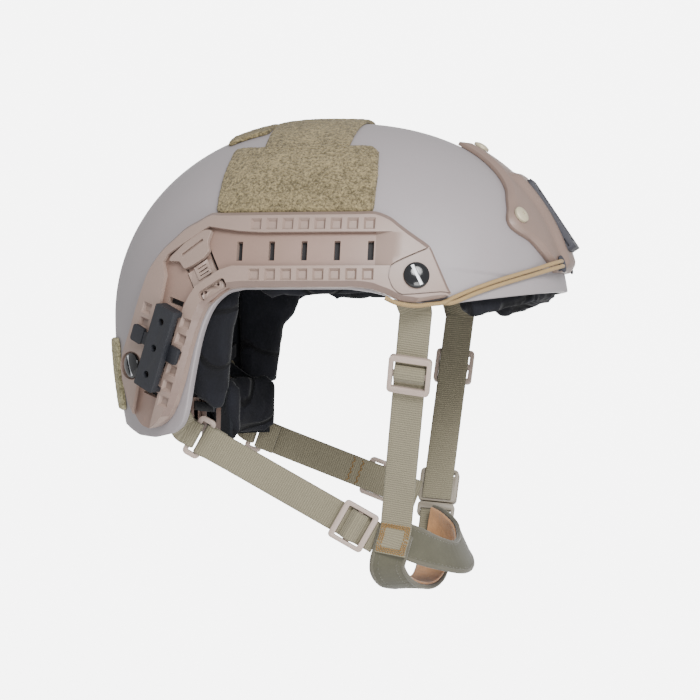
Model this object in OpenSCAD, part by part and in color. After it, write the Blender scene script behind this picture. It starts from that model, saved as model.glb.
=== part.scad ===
// Combat helmet with side rails, front shroud, liner and four point harness.
// The origin is the middle of the head opening at brow height, x points forward and z up.
// The right side is the side at negative y.

/* [Shell] */
// Reach of the shell ahead of its widest point
front_reach = 148; // [144:1:152]
// Reach of the shell behind its widest point
rear_reach = 134; // [130:1:138]
// Half width of the shell
half_width = 118; // [115:1:121]
// Height of the crown above the brow rim
crown_height = 105; // [102:1:108]
// Thickness of the shell wall
shell_wall = 5; // [4:0.5:6]

/* [Side rails] */
// Height of the rail above the shell
rail_height = 8; // [7.5:0.1:9]
// Height of the channel floor above the shell
rail_floor = 4.3; // [3.8:0.1:4.6]
// Edge bevel of the rail
rail_bevel = 3; // [2:0.2:3.6]
// Width of the slot under the channel lips, on each side
lip_undercut = 1.4; // [0.8:0.1:2]
// Height of the slot under the channel lips
undercut_height = 2.2; // [2.2:0.1:2.5]
// Distance between two slots of the upper channel
bar_slot_pitch = 18.7; // [17:0.1:19]
// Slots in the upper channel
bar_slots = 5; // [3:1:5]
// Distance between two pockets of the lips
pocket_pitch = 9.1; // [8.5:0.1:9.3]
// Pockets in each lip of the upper channel
bar_pockets = 8; // [4:1:8]
// Depth of the pockets
pocket_depth = 1.2; // [0.6:0.1:1.6]
// Slots in the rear leg
leg_slots = 4; // [2:1:4]

/* [Corner gate] */
// Travel of the gate along its stem
gate_travel = 2; // [1:0.5:2]
// Thickness of the gate stem
gate_stem = 1.7; // [1.2:0.1:1.8]

/* [Fasteners] */
// Diameter of the rail bolt heads
bolt_head_d = 15; // [12:0.5:16]
// Diameter of the rail bolt shanks
bolt_shank_d = 6; // [4:0.5:7]
// Diameter of the shroud screw heads
screw_head_d = 10; // [8:0.5:12]
// Diameter of the shroud screw shanks
screw_shank_d = 4; // [3:0.5:5]
// Clearance around the shanks of bolts and screws
shank_clearance = 0.15; // [0.1:0.05:0.3]
// Running clearance around the pivots of the wing locks and the dial
pivot_clearance = 0.08; // [0.05:0.01:0.1]

/* [Rail adapter] */
// Length of the adapter plate
adapter_length = 51; // [46:1:54]
// Width of the adapter plate
adapter_width = 15; // [13:0.5:16]
// Thickness of the adapter plate
adapter_thickness = 4.5; // [4:0.5:6]
// Distance between the adapter holes
adapter_pitch = 16.6; // [14:0.2:17]
// Diameter of the adapter holes
adapter_hole_d = 4.2; // [3:0.1:5]
// Half length of the wing lock
wing_reach = 19; // [17:0.5:21]

/* [Front shroud] */
// Height of the shroud insert
insert_height = 50; // [46:1:52]
// Width of the shroud insert
insert_width = 40; // [36:1:42]
// Thickness of the shroud insert
insert_thickness = 7.5; // [6.5:0.5:7.5]
// Thickness of the shroud plate
shroud_thickness = 5; // [4:0.5:5.5]

/* [Liner] */
// Thickness of the liner pads in their middle
pad_thickness = 17; // [14:1:19]
// Thickness of the liner pads at their edge
pad_edge = 7; // [5:0.5:9]
// Thickness of the loop patches
patch_thickness = 2.4; // [1.6:0.2:3]

/* [Nape fit] */
// Inner radius of the nape cradle
cradle_radius = 64; // [62:1:66]
// Thickness of the nape cradle
cradle_wall = 2.4; // [2:0.2:3]
// Thickness of the fit bands
band_wall = 1.8; // [1.4:0.1:2.2]
// Diameter of the fit dial
dial_d = 27; // [24:1:30]
// Grips around the fit dial
dial_grips = 16; // [10:1:20]

/* [Harness] */
// Width of the harness webbing
web_width = 19; // [17:0.5:20]
// Thickness of the harness webbing
web_thickness = 1.5; // [1.2:0.1:1.8]
// Thickness of the strap sliders
slider_thickness = 3.4; // [3:0.2:4]
// Width of the slider bars
slider_bar = 3.6; // [3:0.2:4]
// Width of the chin bands
chin_width = 21; // [18:1:23]
// Diameter of the elastic cords
elastic_d = 2.5; // [2:0.1:2.6]

/* [Hidden] */

// Gap between soft or curved pieces that rest on each other
rest_gap = 0.3;
// Room behind flat webbing for the curve of the wall it lies on
wall_sag = 1.5;
// Gap between the rails and the curved wall under them
rail_seat = 0.7;
// Extra length of a cutting solid past the face it cuts
past = 1;
$fn = 40;

// Shape of the outer surface
centre_x = -7;
widest_z = -14;
skirt_bottom = -96;
front_power = 2.4;
rear_power = 2.1;
side_power = 2.25;
front_plan = 2.35;
rear_plan = 2.2;
end_taper = 0.0015;
side_taper = 0.001;
probe = 0.4;
shell_sides = 60;
shell_rows = 12;

// Side view of the rim, from the brow back round the ear to the nape
rim_points = [[180, 1], [139, 0], [108, -4], [75, -8.5], [54, -5.5], [39, -1], [25, 1], [-38, 1],
    [-47, -1], [-54, -6.5], [-59, -14], [-64, -26], [-71, -55], [-74, -70], [-78, -79],
    [-85, -84], [-98, -87], [-112, -86.5], [-125, -82], [-180, -80], [-180, 130], [180, 130]];

// Outline of the right rail as crossing lines: outer edge x and z, inner edge x and z
rail_top_z = 42.9;
rail_bottom_z = 1.3;
rail_lines = [[79.8, -2.4, 76, -4.6], [74.2, 10.5, 61, -7.2], [69, 22, 54, -6.5], [66.7, 24.8, 51, -5.5],
    [56, 32.3, 45, -2.6], [46, 39.8, 37, 0.3], [38, rail_top_z, 29, rail_bottom_z],
    [-38, rail_top_z, -36, rail_bottom_z], [-57, rail_top_z, -44, 0.5], [-72.5, 35, -49, -2.5],
    [-86.5, 23.5, -54, -6.5], [-92.5, 16.5, -57.5, -9.5], [-96.2, 11, -60, -14], [-100, 2, -62, -18],
    [-105, -11, -65, -26], [-109.5, -23, -68, -35], [-114, -33, -70.3, -43],
    [-117, -42, -72.5, -50.5], [-116, -52, -75, -57.5], [-112.5, -63.5, -78.5, -66],
    [-108, -73, -82.5, -72.5], [-103.5, -78.5, -87, -76.8], [-98, -80.4, -92, -79.6]];
rail_step = 11;

// Channel of the right rail, in the same form
bar_channel_top = 30.7;
bar_channel_bottom = 12.4;
channel_front_x = 41.5;
channel_ramp = 6.5;
channel_lines = [[channel_front_x, bar_channel_top, channel_front_x, bar_channel_bottom],
    [-25, bar_channel_top, -25, bar_channel_bottom], [-38, 31.5, -41, 12.6],
    [-56.5, 34.2, -49, 10.2], [-80.5, 19.5, -62.5, 1.5], [-84, 15, -66.5, -4],
    [-82, 7, -69.5, -9.5], [-84.5, -7, -71.8, -15], [-93, -31, -79.5, -38],
    [-101.5, -55, -87.5, -61.5], [-105, -66, -91.5, -72.5], [-110, -83, -97, -90]];

// The side patches end this far below the crown
side_patch_drop = 20.4;
side_patch_top = crown_height - side_patch_drop;

// Fastening points of the right rail
front_bolt = [61.2, 7.3];
rear_bolt = [-105.4, -43.4];
bar_slot_x = -38.3;
bar_slot_z = 21.4;
bar_slot_width = 3.2;
bar_slot_height = 10.5;
leg_top = [-76.7, -6.8];
leg_end = [-95.3, -59.3];
leg_slot_width = 3.2;
leg_slot_length = 10;
pocket_size = 5.8;
upper_pocket = [-28.7, 35.2];
lower_pocket = [-28.4, 7.8];
leg_pocket_top = [-68.4, -19];
leg_pocket_end = [-83.5, -63.6];
leg_pockets = 6;
outer_pocket_top = [-93.6, -10.3];
outer_pocket_end = [-96, -18.6];
lobe_edge = [[-14.9, -0.8], [-14.1, 3.9], [-10.3, 7.4], [5, 14.4], [16, 19.4], [24, 2], [20, -9], [12.8, -9],
    [-4, -10.3], [-8.7, -9.8], [-12.6, -6.3]];
recess_depth = 1.2;

// Corner gate, drawn flat with the stem pointing down
gate_place = [-66, 14];
gate_turn = 31;
gate_side = 0.5;
gate_sink = 1.5;
gate_head_low = -1.4;
gate_head_outline = [[-12.2, 9.2], [-10.2, 11.1], [1.5, 13.3], [11.9, 13.8], [16, 12.8], [18.8, 10.6],
    [14, 6], [13, gate_head_low + 1.9], [8.5, gate_head_low + 0.2], [4, gate_head_low],
    [-0.5, gate_head_low + 0.2], [-5, gate_head_low + 1], [-6.1, 5.2]];
gate_stem_left = -5;
gate_stem_right = 11.4;
gate_end_left = -2.8;
gate_end_right = 15;
gate_lip_low = -17.6;
gate_window_low = -23.6;
gate_window_corner = 2.7;

// Leg of the rail and what slides on it
adapter_place = [-84.5, -31.6];
plate_side = 2.6;
adapter_lift = 0.5;
wing_height = 2.4;
wing_side = 10;
wing_knob = 9;
wing_arm = 1.8;
lug_length = 18.2;
lug_width = 9;
lug_thickness = 1;
lug_lift = 0.35;
pivot_d = 5;

// Shroud: half width of its edge at each height
shroud_edge = [[11, 36], [17, 42], [23, 48], [29.5, 54], [33, 60], [37, 63.5], [42, 62], [48, 56],
    [54, 50], [60, 42], [68, 33], [77, 24], [83, 17.5], [88, 12], [90, 9]];
// Middle of the insert's face, and how far it leans back from the shell under it
shroud_seat_z = 43.6;
shroud_seat_height = 8.8;
shroud_lean = 3.3;
insert_corner = 4;
recess_margin = [16, 12];
shroud_side_screw = [55, 42];
shroud_top_screw = [0, 84.5];
eyelet_place = [32, 15];

// Nape fit
nape_x = -22;
cradle_low = -91;
cradle_high = -60;
cradle_half_angle = 56;
cradle_arm_width = 9;
cradle_eye_d = 14;
pad_half_angle = 50;
nape_pad_edge = 6;
nape_pad_rise = 7;
dial_z = -76;
housing_wall = 6.5;
housing_half_angle = 17;
housing_half_height = 10.5;
band_room = 8.6;
band_height = 5.6;
pinion_radius = 3.6;
pinion_teeth = 8;
pinion_tooth = 0.9;
tooth_reach = 0.6;
rack_teeth = 7;
band_start_angle = 8;
band_end_angle = 47;
dial_length = 11;

// Harness routes of the right side, from the shell down
front_strap_rim = [61, 17.8 - half_width, -12];
front_strap_end = [42.4, -54, -141];
rear_strap_start = [-72, 2 - cradle_radius, -90];
rear_strap_end = [31, -50.7, -148.5];
front_slider_place = 0.28;
rear_slider_place = 0.86;
ring_place = -0.04;
ring_window = 5.2;
left_front_rim = [62, half_width - 18, -14];
left_front_end = [52, 56, -133];
left_rear_start = [-63, cradle_radius - 4, -93];
left_rear_end = [40, 55.5, -131];
left_rear_slider_place = 0.76;

// Colours
shell_colour = "#b3aaa9";
rail_colour = "#b5a49c";
patch_colour = "#998d73";
web_colour = "#a39d88";
pad_colour = "#26272c";
black_colour = "#23252b";
slider_colour = "#bcb3a2";
elastic_colour = "#a5967f";
suede_colour = "#be8c5f";
chin_colour = "#7a766a";
screw_colour = "#b3a98d";

// Half length or half width of the outer surface at a height
function reach(size, power, taper, z, off) =
    z >= widest_z
    ? (size + off) * pow(max(1 - pow((z - widest_z) / (crown_height - widest_z + off), 2), 0), 1 / power)
    : size + off - taper * pow(z - widest_z, 2);

function side_reach(z, off) = reach(half_width, side_power, side_taper, z, off);

function end_reach(dx, z, off) =
    dx >= 0
    ? reach(front_reach, front_power, end_taper, z, off)
    : reach(rear_reach, rear_power, end_taper, z, off);

function plan_power(dx) = dx >= 0 ? front_plan : rear_plan;

// A point of the surface at a bearing from straight ahead, turning to the right
function skin(bearing, z, off) =
    let (c = cos(bearing), s = sin(bearing), n = plan_power(c))
    let (r = pow(pow(abs(c) / end_reach(c, z, off), n) + pow(abs(s) / side_reach(z, off), n), -1 / n))
    [centre_x + r * c, -r * s, z];

// A point of the right side of the surface at a distance along x
function flank(x, z, off = 0) =
    let (dx = x - centre_x, n = plan_power(dx))
    [x, -side_reach(z, off) * pow(max(1 - pow(abs(dx) / end_reach(dx, z, off), n), 0), 1 / n), z];

// A point of the front of the surface at a distance along y
function forehead(y, z, off = 0) =
    let (part = max(1 - pow(abs(y) / side_reach(z, off), front_plan), 0))
    [centre_x + end_reach(1, z, off) * pow(part, 1 / front_plan), y, z];

// How far out a point lies, where 1 is on the surface
function level(p) =
    let (dx = p.x - centre_x, n = plan_power(dx))
    pow(abs(dx) / end_reach(dx, p.z, 0), n) + pow(abs(p.y) / side_reach(p.z, 0), n);

function slope(p, step) = level(p + step) - level(p - step);

// Direction straight out of the surface at a point
function outward(p) =
    let (g = [slope(p, [probe, 0, 0]), slope(p, [0, probe, 0]), slope(p, [0, 0, probe])])
    g / norm(g);

// Height of the crown above a place in plan
function crown_z(x, y, low, high, rounds) =
    let (mid = (low + high) / 2)
    rounds == 0 ? mid
    : level([x, y, mid]) < 1 ? crown_z(x, y, mid, high, rounds - 1)
    : crown_z(x, y, low, mid, rounds - 1);

function lifted(p, height) = p + height * outward(p);
function on_flank(x, z, height) = lifted(flank(x, z), height);
function on_forehead(y, z, height) = lifted(forehead(y, z), height);
function crown_at(x, y) = crown_z(x, y, 20, crown_height, 20);
function on_crown(x, y, height) =
    let (n = [crown_at(x - probe, y) - crown_at(x + probe, y),
        crown_at(x, y - probe) - crown_at(x, y + probe), 2 * probe])
    [x, y, crown_at(x, y)] + height * unit(n);
function on_skin(bearing, z, height) = lifted(skin(bearing, z, 0), height);

function blend(a, b, t) = a + (b - a) * t;
function unit(v) = v / norm(v);
function swell(t) = 1 - pow(abs(2 * t - 1), 3);

// Crossing lines with more of them between, no further apart than a step
function refined(lines, step) =
    [for (i = [0 : len(lines) - 2])
        let (parts = ceil(max(norm([lines[i + 1][0] - lines[i][0], lines[i + 1][1] - lines[i][1]]),
            norm([lines[i + 1][2] - lines[i][2], lines[i + 1][3] - lines[i][3]])) / step))
        for (k = [0 : parts - 1]) blend(lines[i], lines[i + 1], k / parts),
    lines[len(lines) - 1]];

// The same lines made longer by an amount at both ends
function widened(lines, extra) =
    [for (l = lines)
        let (d = extra * unit([l[0] - l[2], l[1] - l[3]]))
        [l[0] + d.x, l[1] + d.y, l[2] - d.x, l[3] - d.y]];

// A smooth curve through points
function curve_point(a, b, c, d, t) =
    0.5 * (2 * b + (c - a) * t + (2 * a - 5 * b + 4 * c - d) * t * t
    + (3 * b - a - 3 * c + d) * t * t * t);
function smooth(points, parts) =
    [for (i = [0 : len(points) - 2], k = [0 : parts - 1])
        curve_point(points[max(i - 1, 0)], points[i], points[i + 1],
            points[min(i + 2, len(points) - 1)], k / parts),
    points[len(points) - 1]];

// A closed solid between two grids of points
module between(outer, inner) {
    rows = len(outer);
    cols = len(outer[0]);
    count = rows * cols;
    turn = cross(outer[1][0] - outer[0][0], outer[0][1] - outer[0][0]);
    flip = turn * (outer[0][0] - inner[0][0]) < 0;
    function at(i, j) = i * cols + j;
    faces = [
        for (i = [0 : rows - 2], j = [0 : cols - 2]) each [
            [at(i, j), at(i, j + 1), at(i + 1, j + 1)],
            [at(i, j), at(i + 1, j + 1), at(i + 1, j)],
            [count + at(i, j), count + at(i + 1, j + 1), count + at(i, j + 1)],
            [count + at(i, j), count + at(i + 1, j), count + at(i + 1, j + 1)]],
        for (j = [0 : cols - 2]) each [
            [at(0, j + 1), at(0, j), count + at(0, j)],
            [at(0, j + 1), count + at(0, j), count + at(0, j + 1)],
            [at(rows - 1, j), at(rows - 1, j + 1), count + at(rows - 1, j + 1)],
            [at(rows - 1, j), count + at(rows - 1, j + 1), count + at(rows - 1, j)]],
        for (i = [0 : rows - 2]) each [
            [at(i, 0), at(i + 1, 0), count + at(i + 1, 0)],
            [at(i, 0), count + at(i + 1, 0), count + at(i, 0)],
            [at(i + 1, cols - 1), at(i, cols - 1), count + at(i, cols - 1)],
            [at(i + 1, cols - 1), count + at(i, cols - 1), count + at(i + 1, cols - 1)]]];
    polyhedron(
        points = concat([for (r = outer) each r], [for (r = inner) each r]),
        faces = flip ? [for (f = faces) [f[2], f[1], f[0]]] : faces);
}

// A round tube along a smooth curve
module tube(points, radius, sides) {
    last = len(points) - 1;
    rings = [for (i = [0 : last])
        let (ahead = unit(points[min(i + 1, last)] - points[max(i - 1, 0)]))
        let (side = unit(cross(ahead, [0, 0, 1])), up = cross(side, ahead))
        [for (k = [0 : sides - 1])
            points[i] + radius * (cos(k * 360 / sides) * side + sin(k * 360 / sides) * up)]];
    faces = [
        for (i = [0 : last - 1], k = [0 : sides - 1])
            let (a = i * sides + k, b = i * sides + (k + 1) % sides)
            each [[a, b, b + sides], [a, b + sides, a + sides]],
        [for (k = [sides - 1 : -1 : 0]) k],
        [for (k = [0 : sides - 1]) last * sides + k]];
    polyhedron(points = [for (r = rings) each r], faces = faces);
}

// A strap along points, with a width direction at each
module strap(points, wides, width, thickness) {
    last = len(points) - 1;
    normals = [for (i = [0 : last])
        unit(cross(points[min(i + 1, last)] - points[max(i - 1, 0)], wides[i]))];
    function edge(i, side, face) =
        points[i] + side * width / 2 * unit(wides[i]) + face * thickness / 2 * normals[i];
    between([for (i = [0 : last]) [edge(i, -1, 1), edge(i, 1, 1)]],
        [for (i = [0 : last]) [edge(i, -1, -1), edge(i, 1, -1)]]);
}

// Puts a shape on a point of the surface, its z straight out and its y up
module stand(p, height = 0, turn = 0) {
    n = outward(p);
    translate(p + height * n) rotate([90 - asin(n.z), 0, atan2(n.x, -n.y)]) rotate([0, 0, turn]) children();
}

// Turn that points a stood shape's y from one point of the right side to another
function turn_between(from, to) =
    let (p = flank(from.x, from.y), q = flank(to.x, to.y), n = outward(p), d = q - p)
    let (e = asin(n.z), b = atan2(n.x, -n.y))
    atan2(d * [-sin(b) * sin(e), cos(b) * sin(e), cos(e)], d * [cos(b), sin(b), 0]) - 90;

module on_left() {
    mirror([0, 1, 0]) children();
}

module both_sides() {
    children();
    mirror([0, 1, 0]) children();
}

// A piece of the space above the right side, between two heights
module flank_slab(x_from, x_to, z_from, z_to, low, high, rows, cols) {
    function grid(height) =
        [for (i = [0 : rows]) [for (j = [0 : cols])
            on_flank(blend(x_from, x_to, j / cols), blend(z_from, z_to, i / rows), height)]];
    between(grid(high), grid(low));
}

// A solid over crossing lines, between two heights above the surface
module ridge(lines, low, high) {
    function row(l, height) = [for (k = [0 : 2])
        on_flank(blend(l[0], l[2], k / 2), blend(l[1], l[3], k / 2), height)];
    between([for (l = lines) row(l, high)], [for (l = lines) row(l, low)]);
}

module rounded_bar(length, width, corner) {
    hull() {
        for (x = [-1, 1], y = [-1, 1])
            translate([x * (length / 2 - corner), y * (width / 2 - corner)]) circle(corner, $fn = 24);
    }
}

// Shell

function shell_heights() = concat(
    [skirt_bottom, blend(skirt_bottom, widest_z, 0.45)],
    [for (i = [0 : shell_rows - 1])
        widest_z + (crown_height - widest_z) * sin(90 * i / shell_rows)]);

module bowl() {
    heights = shell_heights();
    rows = len(heights);
    sides = shell_sides;
    function ring(i, off) =
        let (t = i < 2 ? 0 : sin(90 * (i - 2) / shell_rows))
        let (z = i < 2 ? heights[i] : widest_z + (crown_height + off - widest_z) * t)
        [for (k = [0 : sides - 1]) skin(360 * k / sides, z, off)];
    outer = [for (i = [0 : rows - 1]) each ring(i, 0)];
    inner = [for (i = [0 : rows - 1]) each ring(i, -shell_wall)];
    poles = [[centre_x, 0, crown_height], [centre_x, 0, crown_height - shell_wall]];
    count = rows * sides;
    outer_pole = 2 * count;
    function at(i, k) = i * sides + k % sides;
    faces = [
        for (i = [0 : rows - 2], k = [0 : sides - 1]) each [
            [at(i, k), at(i + 1, k), at(i + 1, k + 1)],
            [at(i, k), at(i + 1, k + 1), at(i, k + 1)],
            [count + at(i, k), count + at(i + 1, k + 1), count + at(i + 1, k)],
            [count + at(i, k), count + at(i, k + 1), count + at(i + 1, k + 1)]],
        for (k = [0 : sides - 1]) each [
            [at(rows - 1, k), outer_pole, at(rows - 1, k + 1)],
            [count + at(rows - 1, k), count + at(rows - 1, k + 1), outer_pole + 1],
            [at(0, k), at(0, k + 1), count + at(0, k + 1)],
            [at(0, k), count + at(0, k + 1), count + at(0, k)]]];
    polyhedron(points = concat(outer, inner, poles), faces = [for (f = faces) [f[2], f[1], f[0]]]);
}

module bore(p, diameter) {
    stand(p, -shell_wall - 3) cylinder(d = diameter, h = shell_wall + 6);
}

module shell() {
    color(shell_colour) difference() {
        intersection() {
            bowl();
            rotate([90, 0, 0]) linear_extrude(height = 3 * half_width, center = true) polygon(rim_points);
        }
        both_sides() {
            bore(flank(front_bolt.x, front_bolt.y), bolt_shank_d + 2 * shank_clearance);
            bore(flank(rear_bolt.x, rear_bolt.y), bolt_shank_d + 2 * shank_clearance);
            bore(forehead(-shroud_side_screw.x, shroud_side_screw.y), screw_shank_d + 2 * shank_clearance);
        }
        bore(forehead(shroud_top_screw.x, shroud_top_screw.y), screw_shank_d + 2 * shank_clearance);
    }
}

// Loop patches

module patch(points_low, points_high) {
    color(patch_colour) between(points_high, points_low);
}

module side_patch_right() {
    heights = [for (i = [0 : 6]) blend(rail_top_z + 1.2, side_patch_top, i / 6)];
    function left_x(z) = lookup(z, [[47, -56.5], [66, -56], [85, -53]]);
    function right_x(z) = lookup(z, [[47, 36.7], [66, 36.7], [80, 35], [85, 31]]);
    function row(z, height) = [for (j = [0 : 10]) on_flank(blend(left_x(z), right_x(z), j / 10), z, height)];
    patch([for (z = heights) row(z, rest_gap)], [for (z = heights) row(z, rest_gap + patch_thickness)]);
}

module crown_patch() {
    function grid(height) =
        [for (i = [0 : 4]) [for (j = [0 : 14])
            let (s = j / 7 - 1, x = blend(-34, 16 + 4 * (1 - abs(s)), i / 4))
            on_crown(x, flank(x, side_patch_top + 1).y * sin(90 * s), height)]];
    patch(grid(1.5 * rest_gap), grid(rest_gap + patch_thickness));
}

back_patch_half = 50;

module back_crown_patch() {
    function grid(height) =
        [for (i = [0 : 3]) [for (j = [0 : 10])
            on_crown(blend(-62, -36.5, i / 3), blend(-back_patch_half, back_patch_half, j / 10), height)]];
    patch(grid(rest_gap), grid(rest_gap + patch_thickness));
}

module nape_patch() {
    function grid(height) =
        [for (i = [0 : 4]) [for (j = [0 : 12])
            on_skin(blend(153.5, 206.5, j / 12), blend(-72, -28, i / 4), height)]];
    patch(grid(rest_gap), grid(rest_gap + patch_thickness));
}

// Side rails

module rail_body() {
    lines = refined(rail_lines, rail_step);
    function bevel(l) = min(rail_bevel, norm([l[0] - l[2], l[1] - l[3]]) / 2.4);
    function stops(l) =
        let (w = norm([l[0] - l[2], l[1] - l[3]]), b = bevel(l) / w)
        [[0, 1], [b, 0], [0.5 - (0.5 - b) / 3, 0], [0.5 + (0.5 - b) / 3, 0], [1 - b, 0], [1, 1]];
    function row(l, top) = [for (s = stops(l))
        on_flank(blend(l[0], l[2], s[0]), blend(l[1], l[3], s[0]),
            top ? rail_height - s[1] * bevel(l) : rail_seat)];
    between([for (l = lines) row(l, true)], [for (l = lines) row(l, false)]);
}

module channel_cut() {
    lines = refined(channel_lines, rail_step);
    ridge(lines, rail_floor, rail_height + 3);
    ridge(widened(lines, lip_undercut), rail_floor, rail_floor + undercut_height);
    ramp = [for (x = [channel_front_x + channel_ramp, channel_front_x - past])
        [x, bar_channel_top, x, bar_channel_bottom]];
    function side(l, height) = [for (k = [0 : 2])
        on_flank(blend(l[0], l[2], k / 2), blend(l[1], l[3], k / 2), height)];
    between([for (l = ramp) side(l, rail_height + 3)],
        [side(ramp[0], rail_height), side(ramp[1], rail_floor)]);
}

module slot_cut(place, turn, length, width) {
    stand(flank(place.x, place.y), -0.5, turn)
        translate([-width / 2, -length / 2, 0]) cube([width, length, rail_floor + 2]);
}

module pocket_cut(place, turn) {
    stand(flank(place.x, place.y), rail_height - pocket_depth, turn)
        translate([-pocket_size / 2, -pocket_size / 2, 0]) cube([pocket_size, pocket_size, 3]);
}

module gate_frame(height = 0) {
    stand(flank(gate_place.x, gate_place.y), height, gate_turn) children();
}

module gate_area(low, high) {
    flank_slab(-92, -38, -12, 42, low, high, 5, 5);
}

// A shape of the gate's frame, kept between two heights above the shell
module gate_slice(low, high) {
    intersection() {
        gate_area(low, high);
        gate_frame(-8) linear_extrude(height = 24) children();
    }
}

module gate_end(left, right, low, corner) {
    translate([(left + right) / 2, (gate_lip_low + low) / 2])
        rounded_bar(right - left, gate_lip_low - low, corner);
}

// The bed that the gate lies in, its pocket under the skin, and the window over its end
module gate_cut() {
    bed = rail_floor - gate_sink;
    gate_slice(bed, bed + gate_stem + 0.8) {
        translate([gate_stem_left - gate_side, gate_lip_low - gate_side])
            square([gate_stem_right - gate_stem_left + 3 * gate_side, gate_head_low - gate_lip_low + 3]);
        translate([gate_end_left, gate_window_low - gate_travel])
            square([gate_end_right - gate_end_left, gate_lip_low - gate_window_low + gate_travel]);
    }
    gate_slice(bed, rail_height + 3) gate_end(gate_end_left, gate_end_right, gate_window_low,
        gate_window_corner);
}

module bolt_recess(place, height) {
    stand(flank(place.x, place.y), height) cylinder(d = bolt_head_d + 1.4, h = rail_height);
}

module rail_right() {
    leg_turn = turn_between(leg_end, leg_top);
    color(rail_colour) difference() {
        rail_body();
        channel_cut();
        gate_cut();
        for (i = [0 : bar_slots - 1])
            slot_cut([bar_slot_x + i * bar_slot_pitch, bar_slot_z], 0, bar_slot_height, bar_slot_width);
        for (i = [0 : leg_slots - 1])
            slot_cut(blend(leg_top, leg_end, i / (leg_slots - 1)), leg_turn + 90, leg_slot_length,
                leg_slot_width);
        for (i = [0 : bar_pockets - 1]) {
            pocket_cut(upper_pocket + [i * pocket_pitch, 0], 0);
            pocket_cut(lower_pocket + [i * pocket_pitch, 0], 0);
        }
        for (i = [0 : leg_pockets - 1])
            pocket_cut(blend(leg_pocket_top, leg_pocket_end, i / (leg_pockets - 1)), leg_turn);
        pocket_cut(outer_pocket_top, leg_turn);
        pocket_cut(outer_pocket_end, leg_turn);
        for (p = [front_bolt, rear_bolt])
            stand(flank(p.x, p.y), -past)
                cylinder(d = bolt_shank_d + 2 * shank_clearance, h = rail_height + 4);
        bolt_recess(rear_bolt, rail_height - recess_depth);
        stand(flank(front_bolt.x, front_bolt.y), rail_height - recess_depth)
            linear_extrude(height = rail_height) polygon(lobe_edge);
    }
}

// Corner gate

module corner_gate_right() {
    low = rail_floor - gate_sink + 0.4;
    top = low + gate_stem;
    color(rail_colour) difference() {
        union() {
            gate_slice(low, top) {
                translate([gate_stem_left, gate_lip_low + gate_travel])
                    square([gate_stem_right - gate_stem_left, gate_head_low - gate_lip_low]);
                gate_end(gate_end_left + gate_side, gate_end_right - gate_side - 1.4,
                    gate_window_low + gate_side, gate_window_corner - gate_side);
                translate([gate_end_left + gate_side, gate_lip_low - 2])
                    square([gate_stem_right - gate_end_left - gate_side, gate_travel + 3]);
            }
            gate_slice(top - 0.2, top + 0.7) translate([0, gate_head_low - 9.4]) square([9.4, 8.4]);
            gate_slice(rail_floor + 0.4, rail_height - 0.4) polygon(gate_head_outline);
        }
        gate_frame(rail_height - 2) translate([-3.2, 6.9, 0]) rotate(4) cube([15, 1.5, 4]);
        gate_slice(rail_floor - gate_sink, rail_height)
            for (x = [0.6, 9.6]) translate([x, gate_lip_low - 1]) circle(d = 2, $fn = 12);
        gate_frame(rail_floor - 0.2) for (y = [3.4, 5.6, 7.8])
            translate([1.8, gate_head_low - y, 0]) cube([6, 0.6, 3]);
    }
}

// Fasteners

// A slotted bolt standing on its seat, its shank reaching down
module slotted_bolt(head_d, head_h, shank_d, shank_h, slot) {
    difference() {
        union() {
            rotate_extrude() polygon([[0, 0], [head_d / 2, 0], [head_d / 2, head_h * 0.5],
                [head_d / 2 - 1, head_h], [0, head_h]]);
            translate([0, 0, -shank_h]) cylinder(d = shank_d, h = shank_h + head_h / 2);
        }
        translate([-slot / 2, -head_d / 4, head_h - 1]) cube([slot, head_d / 2, 2]);
    }
}

strap_seat = wall_sag + web_thickness + rest_gap;
bolt_reach = rail_height + shell_wall + strap_seat + 2.4;
arm_wall = 2.2;
arm_space = arm_wall + 2 * rest_gap;

module rail_bolts() {
    color(black_colour) both_sides() {
        stand(flank(front_bolt.x, front_bolt.y), rail_height - recess_depth, 24)
            slotted_bolt(bolt_head_d, 3, bolt_shank_d, bolt_reach - recess_depth, 1.8);
        stand(flank(rear_bolt.x, rear_bolt.y), rail_height - recess_depth, 15)
            slotted_bolt(bolt_head_d, 3, bolt_shank_d, bolt_reach - recess_depth + arm_space, 1.8);
    }
}

// A round nut against the inner face of the shell, over the strap end it holds
module inner_nut(p, gap, diameter, shank_d, thickness) {
    stand(p, -shell_wall - gap - thickness) difference() {
        cylinder(d = diameter, h = thickness);
        translate([0, 0, -past]) cylinder(d = shank_d + 2 * pivot_clearance, h = thickness + 2 * past);
    }
}

module rail_nuts() {
    color(black_colour) both_sides() {
        inner_nut(flank(front_bolt.x, front_bolt.y), strap_seat, 13, bolt_shank_d, 1.8);
        inner_nut(flank(rear_bolt.x, rear_bolt.y), strap_seat + arm_space, 13, bolt_shank_d, 1.8);
    }
}

module dome_screw(head_d, head_h, shank_d, shank_h) {
    difference() {
        union() {
            rotate_extrude() intersection() {
                translate([0, head_h - head_d]) circle(r = head_d);
                square([head_d / 2, head_h]);
            }
            translate([0, 0, -shank_h]) cylinder(d = shank_d, h = shank_h + 0.5);
        }
        translate([0, 0, head_h - 1.2]) cylinder(d = head_d * 0.22, h = 3, $fn = 6);
    }
}

screw_reach = shroud_thickness + shell_wall + 3;

module shroud_screws() {
    color(screw_colour) {
        both_sides() stand(forehead(-shroud_side_screw.x, shroud_side_screw.y), shroud_thickness)
            dome_screw(screw_head_d, 3, screw_shank_d, screw_reach);
        stand(forehead(shroud_top_screw.x, shroud_top_screw.y), shroud_thickness)
            dome_screw(screw_head_d, 3, screw_shank_d, screw_reach);
    }
}

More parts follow.
